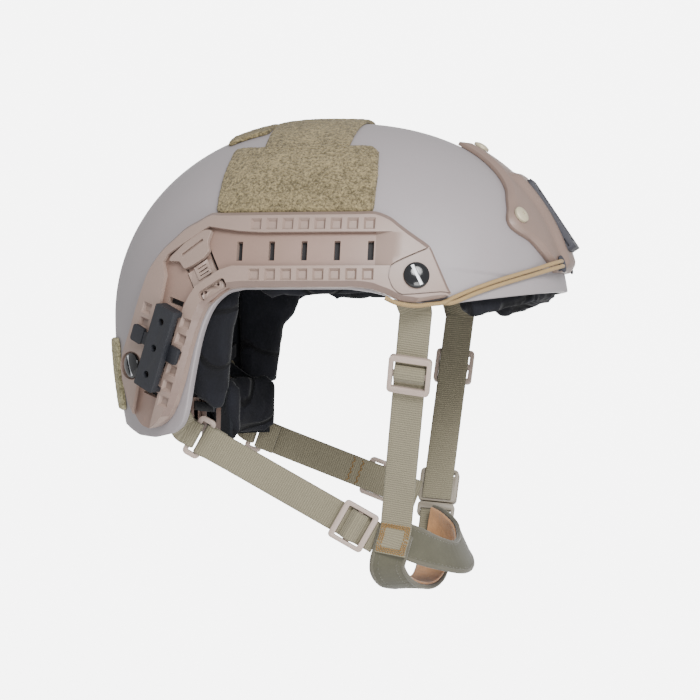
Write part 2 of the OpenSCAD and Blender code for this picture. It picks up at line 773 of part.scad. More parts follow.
module shroud_nuts() {
    color(black_colour) {
        both_sides() inner_nut(forehead(-shroud_side_screw.x, shroud_side_screw.y), wall_sag,
            9, screw_shank_d, 1.6);
        inner_nut(forehead(shroud_top_screw.x, shroud_top_screw.y), wall_sag, 9, screw_shank_d, 1.6);
    }
}

// Rail adapter

adapter_turn = turn_between(leg_end, leg_top);

module adapter_frame(height = 0) {
    stand(flank(adapter_place.x, adapter_place.y), height, adapter_turn) children();
}

wing_low = rail_height + adapter_lift;
plate_low = wing_low + wing_height + 2 * rest_gap;
wing_sweep = norm([wing_reach + 2.5, wing_side / 2]) + rest_gap;

module adapter_plate_right() {
    color(black_colour) adapter_frame() difference() {
        union() {
            translate([plate_side, 0, 0]) difference() {
                union() {
                    translate([0, 0, plate_low]) linear_extrude(height = adapter_thickness)
                        rounded_bar(adapter_width, adapter_length, 1.2);
                    for (s = [-1, 1]) intersection() {
                        translate([-adapter_width / 2, s > 0 ? wing_sweep : -adapter_length / 2, wing_low])
                            cube([adapter_width, adapter_length / 2 - wing_sweep,
                                plate_low - wing_low + past]);
                        translate([0, 0, wing_low]) linear_extrude(height = plate_low)
                            rounded_bar(adapter_width, adapter_length, 1.2);
                    }
                }
                for (s = [-1, 1]) translate([0, s * adapter_pitch, plate_low - past])
                    cylinder(d = adapter_hole_d, h = adapter_thickness + 2 * past);
            }
            translate([0, 0, rail_floor + lug_lift]) cylinder(d = pivot_d, h = plate_low - rail_floor);
        }
        translate([plate_side, 0, plate_low - rest_gap / 3])
            cylinder(d = adapter_hole_d, h = adapter_thickness + past);
    }
}

// The wing lock turns on the pivot of the plate and holds the rail's lips with its lug
module wing_lock_right() {
    color(black_colour) adapter_frame() difference() {
        union() {
            translate([0, 0, wing_low + rest_gap]) {
                cylinder(d = 13, h = wing_height);
                hull() {
                    translate([6 - wing_reach, 0, 0]) cylinder(d = 7, h = wing_arm);
                    cylinder(d = wing_side - 1, h = wing_arm);
                }
                translate([-wing_reach - 2.5, -wing_side / 2, 0])
                    rounded_block([wing_knob, wing_side, wing_height], 1.6);
                hull() {
                    translate([wing_reach - wing_knob, 0, 0]) cylinder(d = 8, h = wing_arm);
                    cylinder(d = wing_side - 1, h = wing_arm);
                }
                translate([wing_reach - wing_knob - 1.4, -wing_side / 2, 0])
                    rounded_block([wing_knob - 0.6, wing_side, wing_height], 1.6);
            }
            translate([0, 0, rail_floor + lug_lift]) cylinder(d = lug_width, h = wing_low - rail_floor);
            translate([0, 0, rail_floor + lug_lift]) intersection() {
                cylinder(d = lug_length, h = lug_thickness);
                translate([-lug_length / 2, -lug_width / 2, 0]) cube([lug_length, lug_width, lug_thickness]);
            }
        }
        cylinder(d = pivot_d + 2 * pivot_clearance, h = plate_low);
    }
}

module rounded_block(size, corner) {
    translate([size.x / 2, size.y / 2, 0]) linear_extrude(height = size.z)
        rounded_bar(size.x, size.y, corner);
}

// Front shroud

function shroud_half(z) = lookup(z, shroud_edge);

module shroud_place() {
    tilt = asin(outward(forehead(0, shroud_seat_z)).z) + shroud_lean;
    translate(on_forehead(0, shroud_seat_z, shroud_seat_height)) rotate([0, 90 - tilt, 0]) children();
}

module shroud_frame() {
    heights = [for (e = shroud_edge) e[0]];
    stops = [-1, -0.93, -0.72, -0.5, -0.25, 0, 0.25, 0.5, 0.72, 0.93, 1];
    function row(z, top, last) = [for (s = stops)
        on_forehead(s * shroud_half(z), z,
            top ? (abs(s) == 1 || last ? shroud_thickness - 2.4 : shroud_thickness) : rest_gap)];
    color(rail_colour) difference() {
        between([for (z = heights) row(z, true, z == heights[0] || z == heights[len(heights) - 1])],
            [for (z = heights) row(z, false, false)]);
        shroud_place() translate([0, 0, -insert_thickness - 8]) linear_extrude(height = 20)
            rounded_bar(insert_height + 2 * rest_gap, insert_width + 2 * rest_gap, insert_corner + rest_gap);
        both_sides() {
            stand(forehead(-shroud_side_screw.x, shroud_side_screw.y), -past)
                cylinder(d = screw_shank_d + 2 * shank_clearance, h = 12);
            stand(forehead(-shroud_side_screw.x, shroud_side_screw.y), shroud_thickness)
                cylinder(d = screw_head_d + 1, h = 5);
            stand(forehead(-eyelet_place.x, eyelet_place.y), -past)
                cylinder(d = eyelet_d + 2 * shank_clearance, h = 12);
        }
        stand(forehead(shroud_top_screw.x, shroud_top_screw.y), -past)
            cylinder(d = screw_shank_d + 2 * shank_clearance, h = 12);
        stand(forehead(shroud_top_screw.x, shroud_top_screw.y), shroud_thickness)
            cylinder(d = screw_head_d + 1, h = 5);
    }
}

module shroud_insert() {
    color(black_colour) shroud_place() difference() {
        translate([0, 0, -insert_thickness]) linear_extrude(height = insert_thickness)
            rounded_bar(insert_height, insert_width, insert_corner);
        translate([-1, 0, -insert_thickness + 2]) linear_extrude(height = insert_thickness)
            rounded_bar(insert_height - recess_margin.x, insert_width - recess_margin.y, insert_corner / 2);
        translate([insert_height / 2 - 6, 0, -2.4]) linear_extrude(height = 3)
            rounded_bar(3, insert_width - 14, 1.4);
        for (s = [-1, 1]) {
            translate([insert_height / 2 - 8, s * insert_width / 2 - 1.2, -4.6]) cube([5.4, 2.4, 1.6]);
            translate([8, s * 8, -insert_thickness - past]) cylinder(d = 3.2, h = 5);
        }
        translate([-9, 0, -insert_thickness - past]) cylinder(d = 4.2, h = 5);
    }
}

// Elastic cords, two strands on each side from the shroud to the rail

module eyelet_place_right(height) {
    stand(forehead(-eyelet_place.x, eyelet_place.y), height) children();
}

eyelet_bore = 2 * elastic_d + 0.6;
eyelet_d = eyelet_bore + 2.2;
strand_pitch = elastic_d + 0.25;

module cord_eyelets() {
    color(black_colour) both_sides() eyelet_place_right(rest_gap) difference() {
        union() {
            cylinder(d = eyelet_d, h = shroud_thickness);
            translate([0, 0, shroud_thickness]) cylinder(d = eyelet_d + 2.6, h = 1.2);
        }
        translate([0, 0, -past]) cylinder(d = eyelet_bore, h = 12);
    }
}

// Bearing and height of the cords along the brim, up to the front tip of the rail
elastic_route = [[25, 10.6], [31, 7.6], [37, 4], [43, -0.5], [48.5, -5.6]];
// Places under the lower edge of the rail, where one strand lies behind the other
elastic_hook = [[75.5, -7.4], [69, -8.2], [61, -9], [51.5, -7.5], [45, -4.5]];

module elastic_strand(s) {
    lift = elastic_d / 2 + 0.5;
    side = (0.5 - s) * strand_pitch;
    function out(bearing, z, height) = on_skin(bearing, z + side, height);
    tube(smooth(concat(
        [for (h = [1.2, 4, 6.8]) on_forehead(-eyelet_place.x, eyelet_place.y + side, h)],
        [out(14.2, eyelet_place.y - 0.2, 8.2), out(16.6, eyelet_place.y - 1, 8), out(19.5, 13.1, 5)],
        [for (b = elastic_route) out(b[0], b[1], lift)],
        [for (h = elastic_hook) on_flank(h.x, h.y, lift + (1 - s) * strand_pitch)]), 3), elastic_d / 2, 8);
}

module elastic_right() {
    color(elastic_colour) for (s = [0, 1]) elastic_strand(s);
}

pad_clear = shell_wall + 1.2;

// Liner pads, each a crowned cushion against the inner face of the shell

// Its front edge is given as bearings at heights and its lower edge as heights at bearings
module pad(front_edge, bearing_to, low_edge, z_to, rows, cols) {
    function thickness(u, v) = pad_edge + (pad_thickness - pad_edge) * sqrt(swell(u) * swell(v));
    function at(i, j, depth) =
        let (u = i / rows, v = j / cols)
        let (low = lookup(abs(blend(front_edge[0][1], bearing_to, v)), low_edge))
        let (z = blend(low, z_to, u), b = blend(lookup(z, front_edge), bearing_to, v))
        on_skin(b, z, -pad_clear - depth * thickness(u, v));
    color(pad_colour) between(
        [for (i = [0 : rows]) [for (j = [0 : cols]) at(i, j, 0)]],
        [for (i = [0 : rows]) [for (j = [0 : cols]) at(i, j, 1)]]);
}

module brow_pad() {
    pad([[0, -46]], 46, [[0, -3], [20, -6.5], [30, -11], [40, -16], [46, -16]], 26, 5, 14);
}

module temple_pad_right() {
    pad([[0, 64]], 103, [[64, -2], [103, -4]], 44, 5, 6);
}

module rear_side_pad_right() {
    pad([[-80, 124], [-60, 117], [-40, 115], [-25, 112.5], [-10, 110], [16, 108]], 132,
        [[100, -76], [150, -76]], 16, 8, 5);
}

module back_pad() {
    pad([[0, 149]], 211, [[149, -40], [211, -40]], 30, 5, 8);
}

module crown_pad() {
    rows = 8;
    cols = 8;
    function at(i, j, depth) =
        let (u = i / rows, v = j / cols)
        let (t = pad_edge + (pad_thickness - pad_edge) * sqrt(swell(u) * swell(v)))
        on_crown(blend(-58, 42, u), blend(-48, 48, v), -pad_clear - depth * t);
    color(pad_colour) between(
        [for (i = [0 : rows]) [for (j = [0 : cols]) at(i, j, 0)]],
        [for (i = [0 : rows]) [for (j = [0 : cols]) at(i, j, 1)]]);
}

// Nape fit: pad, cradle, dial and the two bands that it winds

module arc_wall(radius, wall, low, high, half_angle) {
    translate([nape_x, 0, 0]) rotate([0, 0, 180 - half_angle])
        rotate_extrude(angle = 2 * half_angle, $fn = 120)
            translate([radius, low]) square([wall, high - low]);
}

module nape_pad() {
    rows = 5;
    cols = 10;
    outer = cradle_radius - rest_gap;
    function at(i, j, depth) =
        let (u = i / rows, v = j / cols, a = 180 + blend(-pad_half_angle, pad_half_angle, v))
        let (r = outer - depth * (nape_pad_edge + nape_pad_rise * sqrt(swell(u) * swell(v))))
        [nape_x + r * cos(a), r * sin(a), blend(cradle_low, cradle_high + 8, u)];
    color(pad_colour) between(
        [for (i = [0 : rows]) [for (j = [0 : cols]) at(i, j, 0)]],
        [for (i = [0 : rows]) [for (j = [0 : cols]) at(i, j, 1)]]);
}

module nape_cradle() {
    eye_depth = -shell_wall - strap_seat - arm_wall - rest_gap;
    function round_cradle(out, angle, z) =
        [nape_x - (cradle_radius + out) * cos(angle), -(cradle_radius + out) * sin(angle), z];
    arm_points = [round_cradle(cradle_wall / 2 + 0.2, 50, -61.5), round_cradle(8.7, 49.7, -60.5),
        round_cradle(19.8, 46.2, -54), round_cradle(30.5, 43.1, -45),
        on_flank(rear_bolt.x + 10.5, rear_bolt.y + 5, eye_depth + arm_wall / 2 - 1),
        on_flank(rear_bolt.x + 4, rear_bolt.y + 2, eye_depth + arm_wall / 2)];
    color(rail_colour) difference() {
        union() {
            arc_wall(cradle_radius, cradle_wall, cradle_low, cradle_high, cradle_half_angle);
            both_sides() {
                strap(smooth(arm_points, 3), [for (p = smooth(arm_points, 3)) [0, 0, 1]],
                    cradle_arm_width, arm_wall);
                stand(flank(rear_bolt.x, rear_bolt.y), eye_depth) cylinder(d = cradle_eye_d, h = arm_wall);
            }
        }
        both_sides() stand(flank(rear_bolt.x, rear_bolt.y), eye_depth - 4)
            cylinder(d = bolt_shank_d + 2 * shank_clearance, h = 12);
        for (a = [-38, 38]) translate([nape_x, 0, (cradle_low + cradle_high) / 2]) rotate([0, 0, 180 + a])
            translate([cradle_radius - 5, -7, -6]) cube([12, 14, 12]);
    }
}

band_radius = cradle_radius + cradle_wall + 2.6;

module dial_housing() {
    color(rail_colour) difference() {
        arc_wall(cradle_radius + cradle_wall + rest_gap, housing_wall - rest_gap,
            dial_z - housing_half_height, dial_z + housing_half_height, housing_half_angle);
        arc_wall(band_radius - rest_gap, band_wall + 2 * rest_gap, dial_z - band_room, dial_z + band_room,
            housing_half_angle + 5);
        translate([nape_x - band_radius + 1, 0, dial_z]) rotate([0, -90, 0])
            cylinder(d = pivot_d + 2 * pivot_clearance, h = 20);
    }
}

module dial_knob() {
    face = cradle_radius + cradle_wall + housing_wall;
    translate([nape_x, 0, dial_z]) rotate([0, -90, 0]) {
        color(black_colour) difference() {
            translate([0, 0, face + rest_gap]) rotate_extrude() polygon([[0, 0], [dial_d / 2, 0],
                [dial_d / 2, dial_length - 3], [dial_d / 2 - 2, dial_length], [0, dial_length]]);
            for (i = [0 : dial_grips - 1]) rotate([0, 0, i * 360 / dial_grips])
                translate([dial_d / 2 + 0.6, 0, face - past]) cylinder(d = 3, h = dial_length + 3);
            translate([0, 0, face + dial_length - 1.4]) cylinder(d = dial_d * 0.55, h = 4);
        }
        color(black_colour) translate([0, 0, band_radius + band_wall])
            cylinder(d = pivot_d, h = face + 2 - band_radius - band_wall);
        color(black_colour) translate([0, 0, band_radius]) linear_extrude(height = band_wall + 0.1) union() {
            circle(r = pinion_radius - 1.2);
            for (i = [0 : pinion_teeth - 1]) rotate(i * 360 / pinion_teeth)
                translate([pinion_radius - 1.6, -pinion_tooth / 2])
                    square([1.6 + tooth_reach, pinion_tooth]);
        }
    }
}

// A band with rack teeth on its lower edge, which faces the dial
module fit_band() {
    tooth_step = 360 / pinion_teeth * pinion_radius / (band_radius + band_wall / 2);
    low = dial_z + pinion_radius - tooth_reach;
    notch = PI * 2 * pinion_radius / pinion_teeth - pinion_tooth - 0.25;
    color(rail_colour) difference() {
        translate([nape_x, 0, 0]) rotate([0, 0, 180 - band_start_angle])
            rotate_extrude(angle = band_start_angle + band_end_angle, $fn = 120)
                translate([band_radius, low]) square([band_wall, band_height]);
        for (k = [-rack_teeth : rack_teeth])
            translate([nape_x, 0, low - past]) rotate([0, 0, 180 + k * tooth_step])
                translate([band_radius - past, -notch / 2, 0])
                    cube([band_wall + 2 * past, notch, past + 2 * tooth_reach + 0.4]);
    }
}

module fit_band_left() {
    translate([0, 0, 2 * dial_z]) rotate([180, 0, 0]) fit_band();
}

// Harness

strap_wide = [1, 0, 0];
inner_seat = shell_wall + wall_sag + web_thickness / 2;

// Width directions that keep a strap flat against directions of its face
function widths(points, faces) =
    [for (i = [0 : len(points) - 1])
        unit(cross(points[min(i + 1, len(points) - 1)] - points[max(i - 1, 0)], faces[i]))];

module front_web(rim, end, outer) {
    function seat(x, z) = let (p = on_flank(x, z, -inner_seat)) [p.x, -outer * p.y, p.z];
    function face(x, z) = let (n = outward(flank(x, z))) [n.x, -outer * n.y, n.z];
    up = front_bolt + [0.6, 9];
    low = front_bolt - [1.3, 9.2];
    points = [seat(up.x, up.y), seat(front_bolt.x, front_bolt.y), seat(low.x, low.y), rim,
        for (t = [0.03, 0.5, 1]) blend(rim, end, t)];
    faces = [face(up.x, up.y), face(front_bolt.x, front_bolt.y), face(low.x, low.y),
        for (i = [0 : 3]) [0, outer, 0]];
    color(web_colour) difference() {
        strap(points, widths(points, faces), web_width, web_thickness);
        mirror([0, outer > 0 ? 1 : 0, 0]) stand(flank(front_bolt.x, front_bolt.y), -shell_wall - 5)
            cylinder(d = bolt_shank_d + 2 * rest_gap, h = 6);
    }
}

module front_strap_right() {
    front_web(front_strap_rim, front_strap_end, -1);
}

module front_strap_left() {
    front_web(left_front_rim, left_front_end, 1);
}

// A place in the plane of a nape ring, y up along the strap and z outwards
function ring_point(from, to, outer, y, z) =
    let (d = unit(from - to), x = unit(cross(d, [0, outer, 0])))
    blend(from, to, ring_place) + y * d + z * cross(x, d);

ring_bar = 2.9;
ring_thick = 3;
ring_lap = ring_thick / 2 + rest_gap + web_thickness / 2;

module rear_web(from, to, outer) {
    function at(y, z) = ring_point(from, to, outer, y, z);
    side = unit(cross(from - to, [0, outer, 0]));
    points = [at(-14, -ring_lap), at(-5.5, -ring_lap), at(-2.6, -ring_lap), at(-1.6, -ring_lap * 0.6),
        at(-1.3, 0), at(-1.6, ring_lap * 0.6), at(-2.6, ring_lap), at(-6, ring_lap), at(-10, 1),
        blend(from, to, 0.15), to];
    color(web_colour) strap(points, [for (p = points) side], web_width, web_thickness);
}

module rear_strap_right() {
    rear_web(rear_strap_start, rear_strap_end, -1);
}

module rear_strap_left() {
    rear_web(left_rear_start, left_rear_end, 1);
}

// Lays a flat shape on a straight strap, its y along the strap upwards and its z outwards
module on_strap(from, to, place, outer) {
    d = unit(from - to);
    x = unit(cross(d, [0, outer, 0]));
    z = cross(x, d);
    p = blend(from, to, place);
    multmatrix([[x.x, d.x, z.x, p.x], [x.y, d.y, z.y, p.y], [x.z, d.z, z.z, p.z]]) children();
}

slider_wide = web_width + 2 * slider_bar - 1;
slider_tall = web_width + 4;
slider_lift = web_thickness / 2 + rest_gap;

module slider_body() {
    window = (slider_tall - 3 * slider_bar) / 2;
    color(slider_colour) translate([0, 0, slider_lift]) difference() {
        linear_extrude(height = slider_thickness) rounded_bar(slider_wide, slider_tall, 2.5);
        for (s = [-1, 1])
            translate([-web_width / 2 - 0.5, s * (window + slider_bar) / 2 - window / 2, -past])
                cube([web_width + 1, window, slider_thickness + 2 * past]);
        translate([-web_width / 2 - 0.5, -slider_bar / 2 - 0.1, slider_thickness - 1.2])
            cube([web_width + 1, slider_bar + 0.2, 3]);
    }
}

// The webbing that lies over the middle bar of a slider
module slider_loop() {
    bar_top = slider_lift + slider_thickness - 1.2 + rest_gap;
    reach_y = slider_bar / 2 + 2.6;
    half = web_thickness / 2;
    points = [[0, reach_y + 0.6, slider_lift + half], [0, reach_y - 0.9, slider_lift + 1.2 + half],
        [0, slider_bar / 2, bar_top + half], [0, -slider_bar / 2, bar_top + half],
        [0, -reach_y + 0.9, slider_lift + 1.2 + half], [0, -reach_y - 0.6, slider_lift + half]];
    color(web_colour) strap(points, [for (p = points) strap_wide], web_width, web_thickness);
}

module front_slider_right() {
    on_strap(front_strap_rim, front_strap_end, front_slider_place, -1) slider_body();
}

module front_loop_right() {
    on_strap(front_strap_rim, front_strap_end, front_slider_place, -1) slider_loop();
}

module front_slider_left() {
    on_strap(left_front_rim, left_front_end, front_slider_place, 1) slider_body();
}

module front_loop_left() {
    on_strap(left_front_rim, left_front_end, front_slider_place, 1) slider_loop();
}

module rear_slider_right() {
    on_strap(rear_strap_start, rear_strap_end, rear_slider_place, -1) slider_body();
}

module rear_loop_right() {
    on_strap(rear_strap_start, rear_strap_end, rear_slider_place, -1) slider_loop();
}

module rear_slider_left() {
    on_strap(left_rear_start, left_rear_end, left_rear_slider_place, 1) slider_body();
}

module rear_loop_left() {
    on_strap(left_rear_start, left_rear_end, left_rear_slider_place, 1) slider_loop();
}

// A flat ring that joins the rear strap to the webbing from the shell
module ring_body(from, to, outer) {
    color(slider_colour) on_strap(from, to, ring_place, outer) translate([0, 0, -ring_thick / 2])
        difference() {
        linear_extrude(height = ring_thick) rounded_bar(web_width + 7, ring_window + 2 * ring_bar, 3);
        translate([-web_width / 2 - 0.5, -ring_window / 2, -past])
            cube([web_width + 1, ring_window, ring_thick + 2 * past]);
    }
}

module nape_ring_right() {
    ring_body(rear_strap_start, rear_strap_end, -1);
}

module nape_ring_left() {
    ring_body(left_rear_start, left_rear_end, 1);
}

// Webbing from the rear bolt down to the ring
module nape_web(from, to, outer) {
    function at(y, z) = ring_point(from, to, outer, y, z);
    function seat(x, z) = let (p = on_flank(x, z, -inner_seat)) [p.x, -outer * p.y, p.z];
    function face(x, z) = let (n = outward(flank(x, z))) [n.x, -outer * n.y, n.z];
    z_out = unit(cross(unit(cross(from - to, [0, outer, 0])), unit(from - to)));
    up = rear_bolt + [-7, 7.5];
    low = rear_bolt + [6, -7];
    points = [seat(up.x, up.y), seat(rear_bolt.x, rear_bolt.y), seat(low.x, low.y),
        blend(seat(low.x, low.y), at(10, ring_lap), 0.5), at(10, ring_lap), at(2.6, ring_lap),
        at(1.6, ring_lap * 0.6), at(1.3, 0), at(1.6, -ring_lap * 0.6), at(2.6, -ring_lap), at(8, -ring_lap)];
    faces = [face(up.x, up.y), face(rear_bolt.x, rear_bolt.y), face(low.x, low.y),
        unit(face(low.x, low.y) + z_out)];
    color(web_colour) difference() {
        strap(points, [for (i = [0 : len(points) - 1]) i > 3 ? unit(cross(from - to, [0, outer, 0]))
            : -unit(cross(points[min(i + 1, len(points) - 1)] - points[max(i - 1, 0)], faces[i]))],
            web_width - 3, web_thickness);
        mirror([0, outer > 0 ? 1 : 0, 0]) stand(flank(rear_bolt.x, rear_bolt.y), -shell_wall - 5)
            cylinder(d = bolt_shank_d + 2 * rest_gap, h = 6);
    }
}

module nape_web_right() {
    nape_web(rear_strap_start, rear_strap_end, -1);
}

module nape_web_left() {
    nape_web(left_rear_start, left_rear_end, 1);
}

// Chin cup: an upper band in front of the chin and a sling below it, both lined

chin_path = [[43, -50, -147.5], [53, -45.5, -152], [65, -33, -158], [75, -15, -162.5], [77, 6, -161],
    [72, 27, -155], [61, 40.3, -149.5], [50, 47.2, -147]];
chin_wide = [[0.2, 0, 1], [0.1, 0.1, 1], [-0.25, 0.25, 1], [-0.45, 0.15, 1], [-0.5, 0, 1],
    [-0.4, -0.2, 1], [-0.2, -0.2, 1], [0.1, 0, 1]];
sling_path = [[42, -53, -144], [38.8, -53.3, -156], [36.5, -50.3, -166], [40, -35.5, -176.5],
    [47, -14, -181.5], [52, 8, -180], [53.5, 27, -173.5], [52, 39.5, -167], [50.5, 46, -160.5]];
sling_wide = [[1, 0, 0.05], [1, 0.1, 0.15], [1, 0.1, 0.1], [1, 0.2, 0], [1, 0.1, 0], [1, 0, 0],
    [1, -0.1, 0], [1, -0.1, 0], [1, 0, 0.1]];

function shifted(points, wides, distance) =
    [for (i = [0 : len(points) - 1])
        points[i] + distance * unit(cross(points[min(i + 1, len(points) - 1)] - points[max(i - 1, 0)],
            wides[i]))];

module chin_band() {
    color(chin_colour) strap(smooth(chin_path, 3), smooth(chin_wide, 3), chin_width, 2.2);
}

module chin_sling() {
    color(chin_colour) strap(smooth(sling_path, 3), smooth(sling_wide, 3), chin_width, 2.2);
}

module chin_lining() {
    sling_turns = smooth(sling_wide, 3);
    sling_inner = shifted(smooth(sling_path, 3), sling_turns, -2.4);
    color(suede_colour) {
        strap(shifted(smooth(chin_path, 3), smooth(chin_wide, 3), -2.4), smooth(chin_wide, 3),
            chin_width - 2, 1.8);
        strap([for (i = [6 : 20]) sling_inner[i]], [for (i = [6 : 20]) sling_turns[i]], chin_width - 2, 1.8);
    }
}

// Side release buckle outside the lower end of the left front strap
module buckle_frame() {
    on_strap(left_front_rim, left_front_end, buckle_place, 1)
        translate([0, 0, slider_lift]) children();
}

buckle_place = 0.925;
buckle_wide = 25;
plug_bar_y = -21;
plug_slot = 2.6;

module buckle_socket() {
    color(black_colour) buckle_frame() difference() {
        linear_extrude(height = 7) rounded_bar(buckle_wide, 22, 3);
        translate([-8.6, -13, 2]) cube([17.2, 17, 3]);
        for (s = [-1, 1]) translate([s * buckle_wide / 2 - 2.4, -6, 1.6]) cube([4.8, 8, 3.8]);
        translate([-web_width / 2 - 0.5, 6.5, -past]) cube([web_width + 1, 2.4, 10]);
    }
}

module buckle_plug() {
    color(black_colour) buckle_frame() difference() {
        union() {
            translate([-12, plug_bar_y, 1]) rounded_block([24, 9.5, 5], 2.5);
            translate([-8, -14, 2.4]) cube([16, 15, 2.2]);
        }
        translate([-web_width / 2 - 0.4, plug_bar_y + 2.4, -past]) cube([web_width + 0.8, plug_slot, 10]);
        translate([-4.6, -11, -past]) cube([9.2, 13, 10]);
    }
}

// Webbing folded round the bar of the plug and sewn to the chin cup
module chin_tab() {
    slot_y = plug_bar_y + 2.4 + plug_slot / 2;
    points = [[0, -37, 1.1], [0, -27, 0.5], [0, -21.5, -0.1], [0, slot_y - 0.5, 0], [0, slot_y, 1.4],
        [0, slot_y, 5.6], [0, slot_y - 0.5, 7], [0, -21.5, 7.1], [0, -27, 5.6], [0, -32, 3.5], [0, -37, 3]];
    color(web_colour) buckle_frame()
        strap(points, [for (p = points) strap_wide], web_width, web_thickness);
}

shell();
crown_patch();
back_crown_patch();
side_patch_right();
on_left() side_patch_right();  // side_patch_left
nape_patch();
rail_right();
on_left() rail_right();  // rail_left
corner_gate_right();
on_left() corner_gate_right();  // corner_gate_left
rail_bolts();
rail_nuts();
adapter_plate_right();
on_left() adapter_plate_right();  // adapter_plate_left
wing_lock_right();
on_left() wing_lock_right();  // wing_lock_left
shroud_frame();
shroud_insert();
shroud_screws();
shroud_nuts();
cord_eyelets();
elastic_right();
on_left() elastic_right();  // elastic_left
brow_pad();
crown_pad();
temple_pad_right();
on_left() temple_pad_right();  // temple_pad_left
rear_side_pad_right();
on_left() rear_side_pad_right();  // rear_side_pad_left
back_pad();
nape_pad();
nape_cradle();
dial_housing();
dial_knob();
fit_band();  // fit_band_right
fit_band_left();
front_strap_right();
front_strap_left();
rear_strap_right();
rear_strap_left();
front_slider_right();
front_slider_left();
rear_slider_right();
rear_slider_left();
front_loop_right();
front_loop_left();
rear_loop_right();
rear_loop_left();
nape_ring_right();
nape_ring_left();
nape_web_right();
nape_web_left();
chin_band();
chin_sling();
chin_lining();
chin_tab();
buckle_socket();
buckle_plug();
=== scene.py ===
"""A high cut combat helmet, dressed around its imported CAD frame."""

import logging
import math
from dataclasses import dataclass, field
from enum import Enum
from typing import Callable, Sequence

import bmesh
import bpy
import numpy as np
from mathutils import Matrix, Vector, noise


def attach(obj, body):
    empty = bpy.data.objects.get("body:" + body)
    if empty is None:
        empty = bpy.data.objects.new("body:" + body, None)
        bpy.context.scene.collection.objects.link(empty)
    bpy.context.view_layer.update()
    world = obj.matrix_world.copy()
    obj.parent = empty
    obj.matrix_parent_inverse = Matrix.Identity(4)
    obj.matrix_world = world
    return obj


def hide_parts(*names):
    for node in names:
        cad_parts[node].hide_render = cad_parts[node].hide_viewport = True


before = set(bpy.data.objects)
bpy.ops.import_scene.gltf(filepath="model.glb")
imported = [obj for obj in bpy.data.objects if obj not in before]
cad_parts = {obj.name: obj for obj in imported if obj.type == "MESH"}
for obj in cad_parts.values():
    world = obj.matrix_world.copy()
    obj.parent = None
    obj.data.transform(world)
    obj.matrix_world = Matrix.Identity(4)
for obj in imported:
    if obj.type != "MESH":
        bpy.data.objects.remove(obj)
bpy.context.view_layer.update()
LOG = logging.getLogger("helmet")
MM = 0.001
HELMET = "helmet"
RIB_PITCH = 1.4
BEND_STEP = 6.0
CRADLE_X = -22.0
Point = tuple[float, float, float]
Flat = tuple[float, float]
Place = Callable[[np.ndarray], np.ndarray]
FRONT_BOLT: Flat = (61.2, 7.3)
REAR_BOLT: Flat = (-105.4, -43.4)


class Side(Enum):
    """The wearer's two sides, with the sign of y there."""

    RIGHT = -1
    LEFT = 1

    @property
    def word(self) -> str:
        """The ending of this side's names."""
        return self.name.lower()

    def of(self, points: np.ndarray) -> np.ndarray:
        """Moves right-hand points to this side.

        Args:
            points: Rows of x, y and z on the right side.

        Returns:
            The same rows, mirrored for the left side.
        """
        out = np.array(points, float)
        out[..., 1] *= -self.value
        return out


def unit(v: np.ndarray) -> np.ndarray:
    """Rows of unit length."""
    return v / np.maximum(np.linalg.norm(v, axis=-1, keepdims=True), 1e-12)


def mix(a: np.ndarray, b: np.ndarray, t: float) -> np.ndarray:
    """The point a share t of the way from a to b."""
    return np.asarray(a, float) + (np.asarray(b, float) - np.asarray(a, float)) * t


def curve(points: Sequence[Sequence[float]], parts: int) -> np.ndarray:
    """A smooth curve through points.

    Args:
        points: The points it passes.
        parts: Steps between two points.

    Returns:
        Rows of points along the curve.
    """
    p = np.asarray(points, float)
    rows = []
    for i in range(len(p) - 1):
        a, b, c, d = p[max(i - 1, 0)], p[i], p[i + 1], p[min(i + 2, len(p) - 1)]
        for t in np.arange(parts) / parts:
            rows.append(0.5 * (2 * b + (c - a) * t + (2 * a - 5 * b + 4 * c - d) * t * t
                               + (3 * b - a - 3 * c + d) * t ** 3))
    rows.append(p[-1])
    return np.array(rows)


def stepped(points: Sequence[Sequence[float]], step: float, size: Callable[[np.ndarray], float]) -> np.ndarray:
    """Rows of points, with more rows between them where they are far apart.

    Args:
        points: The rows.
        step: The largest change between two rows.
        size: Gives the size of a change.

    Returns:
        The rows.
    """
    p = np.asarray(points, float)
    rows = []
    for a, b in zip(p, p[1:]):
        parts = max(1, math.ceil(size(b - a) / step))
        rows += [mix(a, b, k / parts) for k in range(parts)]
    return np.array([*rows, p[-1]])


def largest(change: np.ndarray) -> float:
    """The largest part of a change."""
    return np.abs(change).max()


def even(points: np.ndarray, count: int) -> tuple[np.ndarray, np.ndarray]:
    """Points spread evenly along a line of points.

    Args:
        points: Rows of points.
        count: How many to give back.

    Returns:
        The rows, and the share of the given rows' index at each.
    """
    far = np.concatenate([[0], np.cumsum(np.linalg.norm(np.diff(points, axis=0), axis=1))])
    want = np.linspace(0, far[-1], count)
    cols = [np.interp(want, far, points[:, k]) for k in range(points.shape[1])]
    return np.stack(cols, -1), np.interp(want, far, np.arange(len(points)))


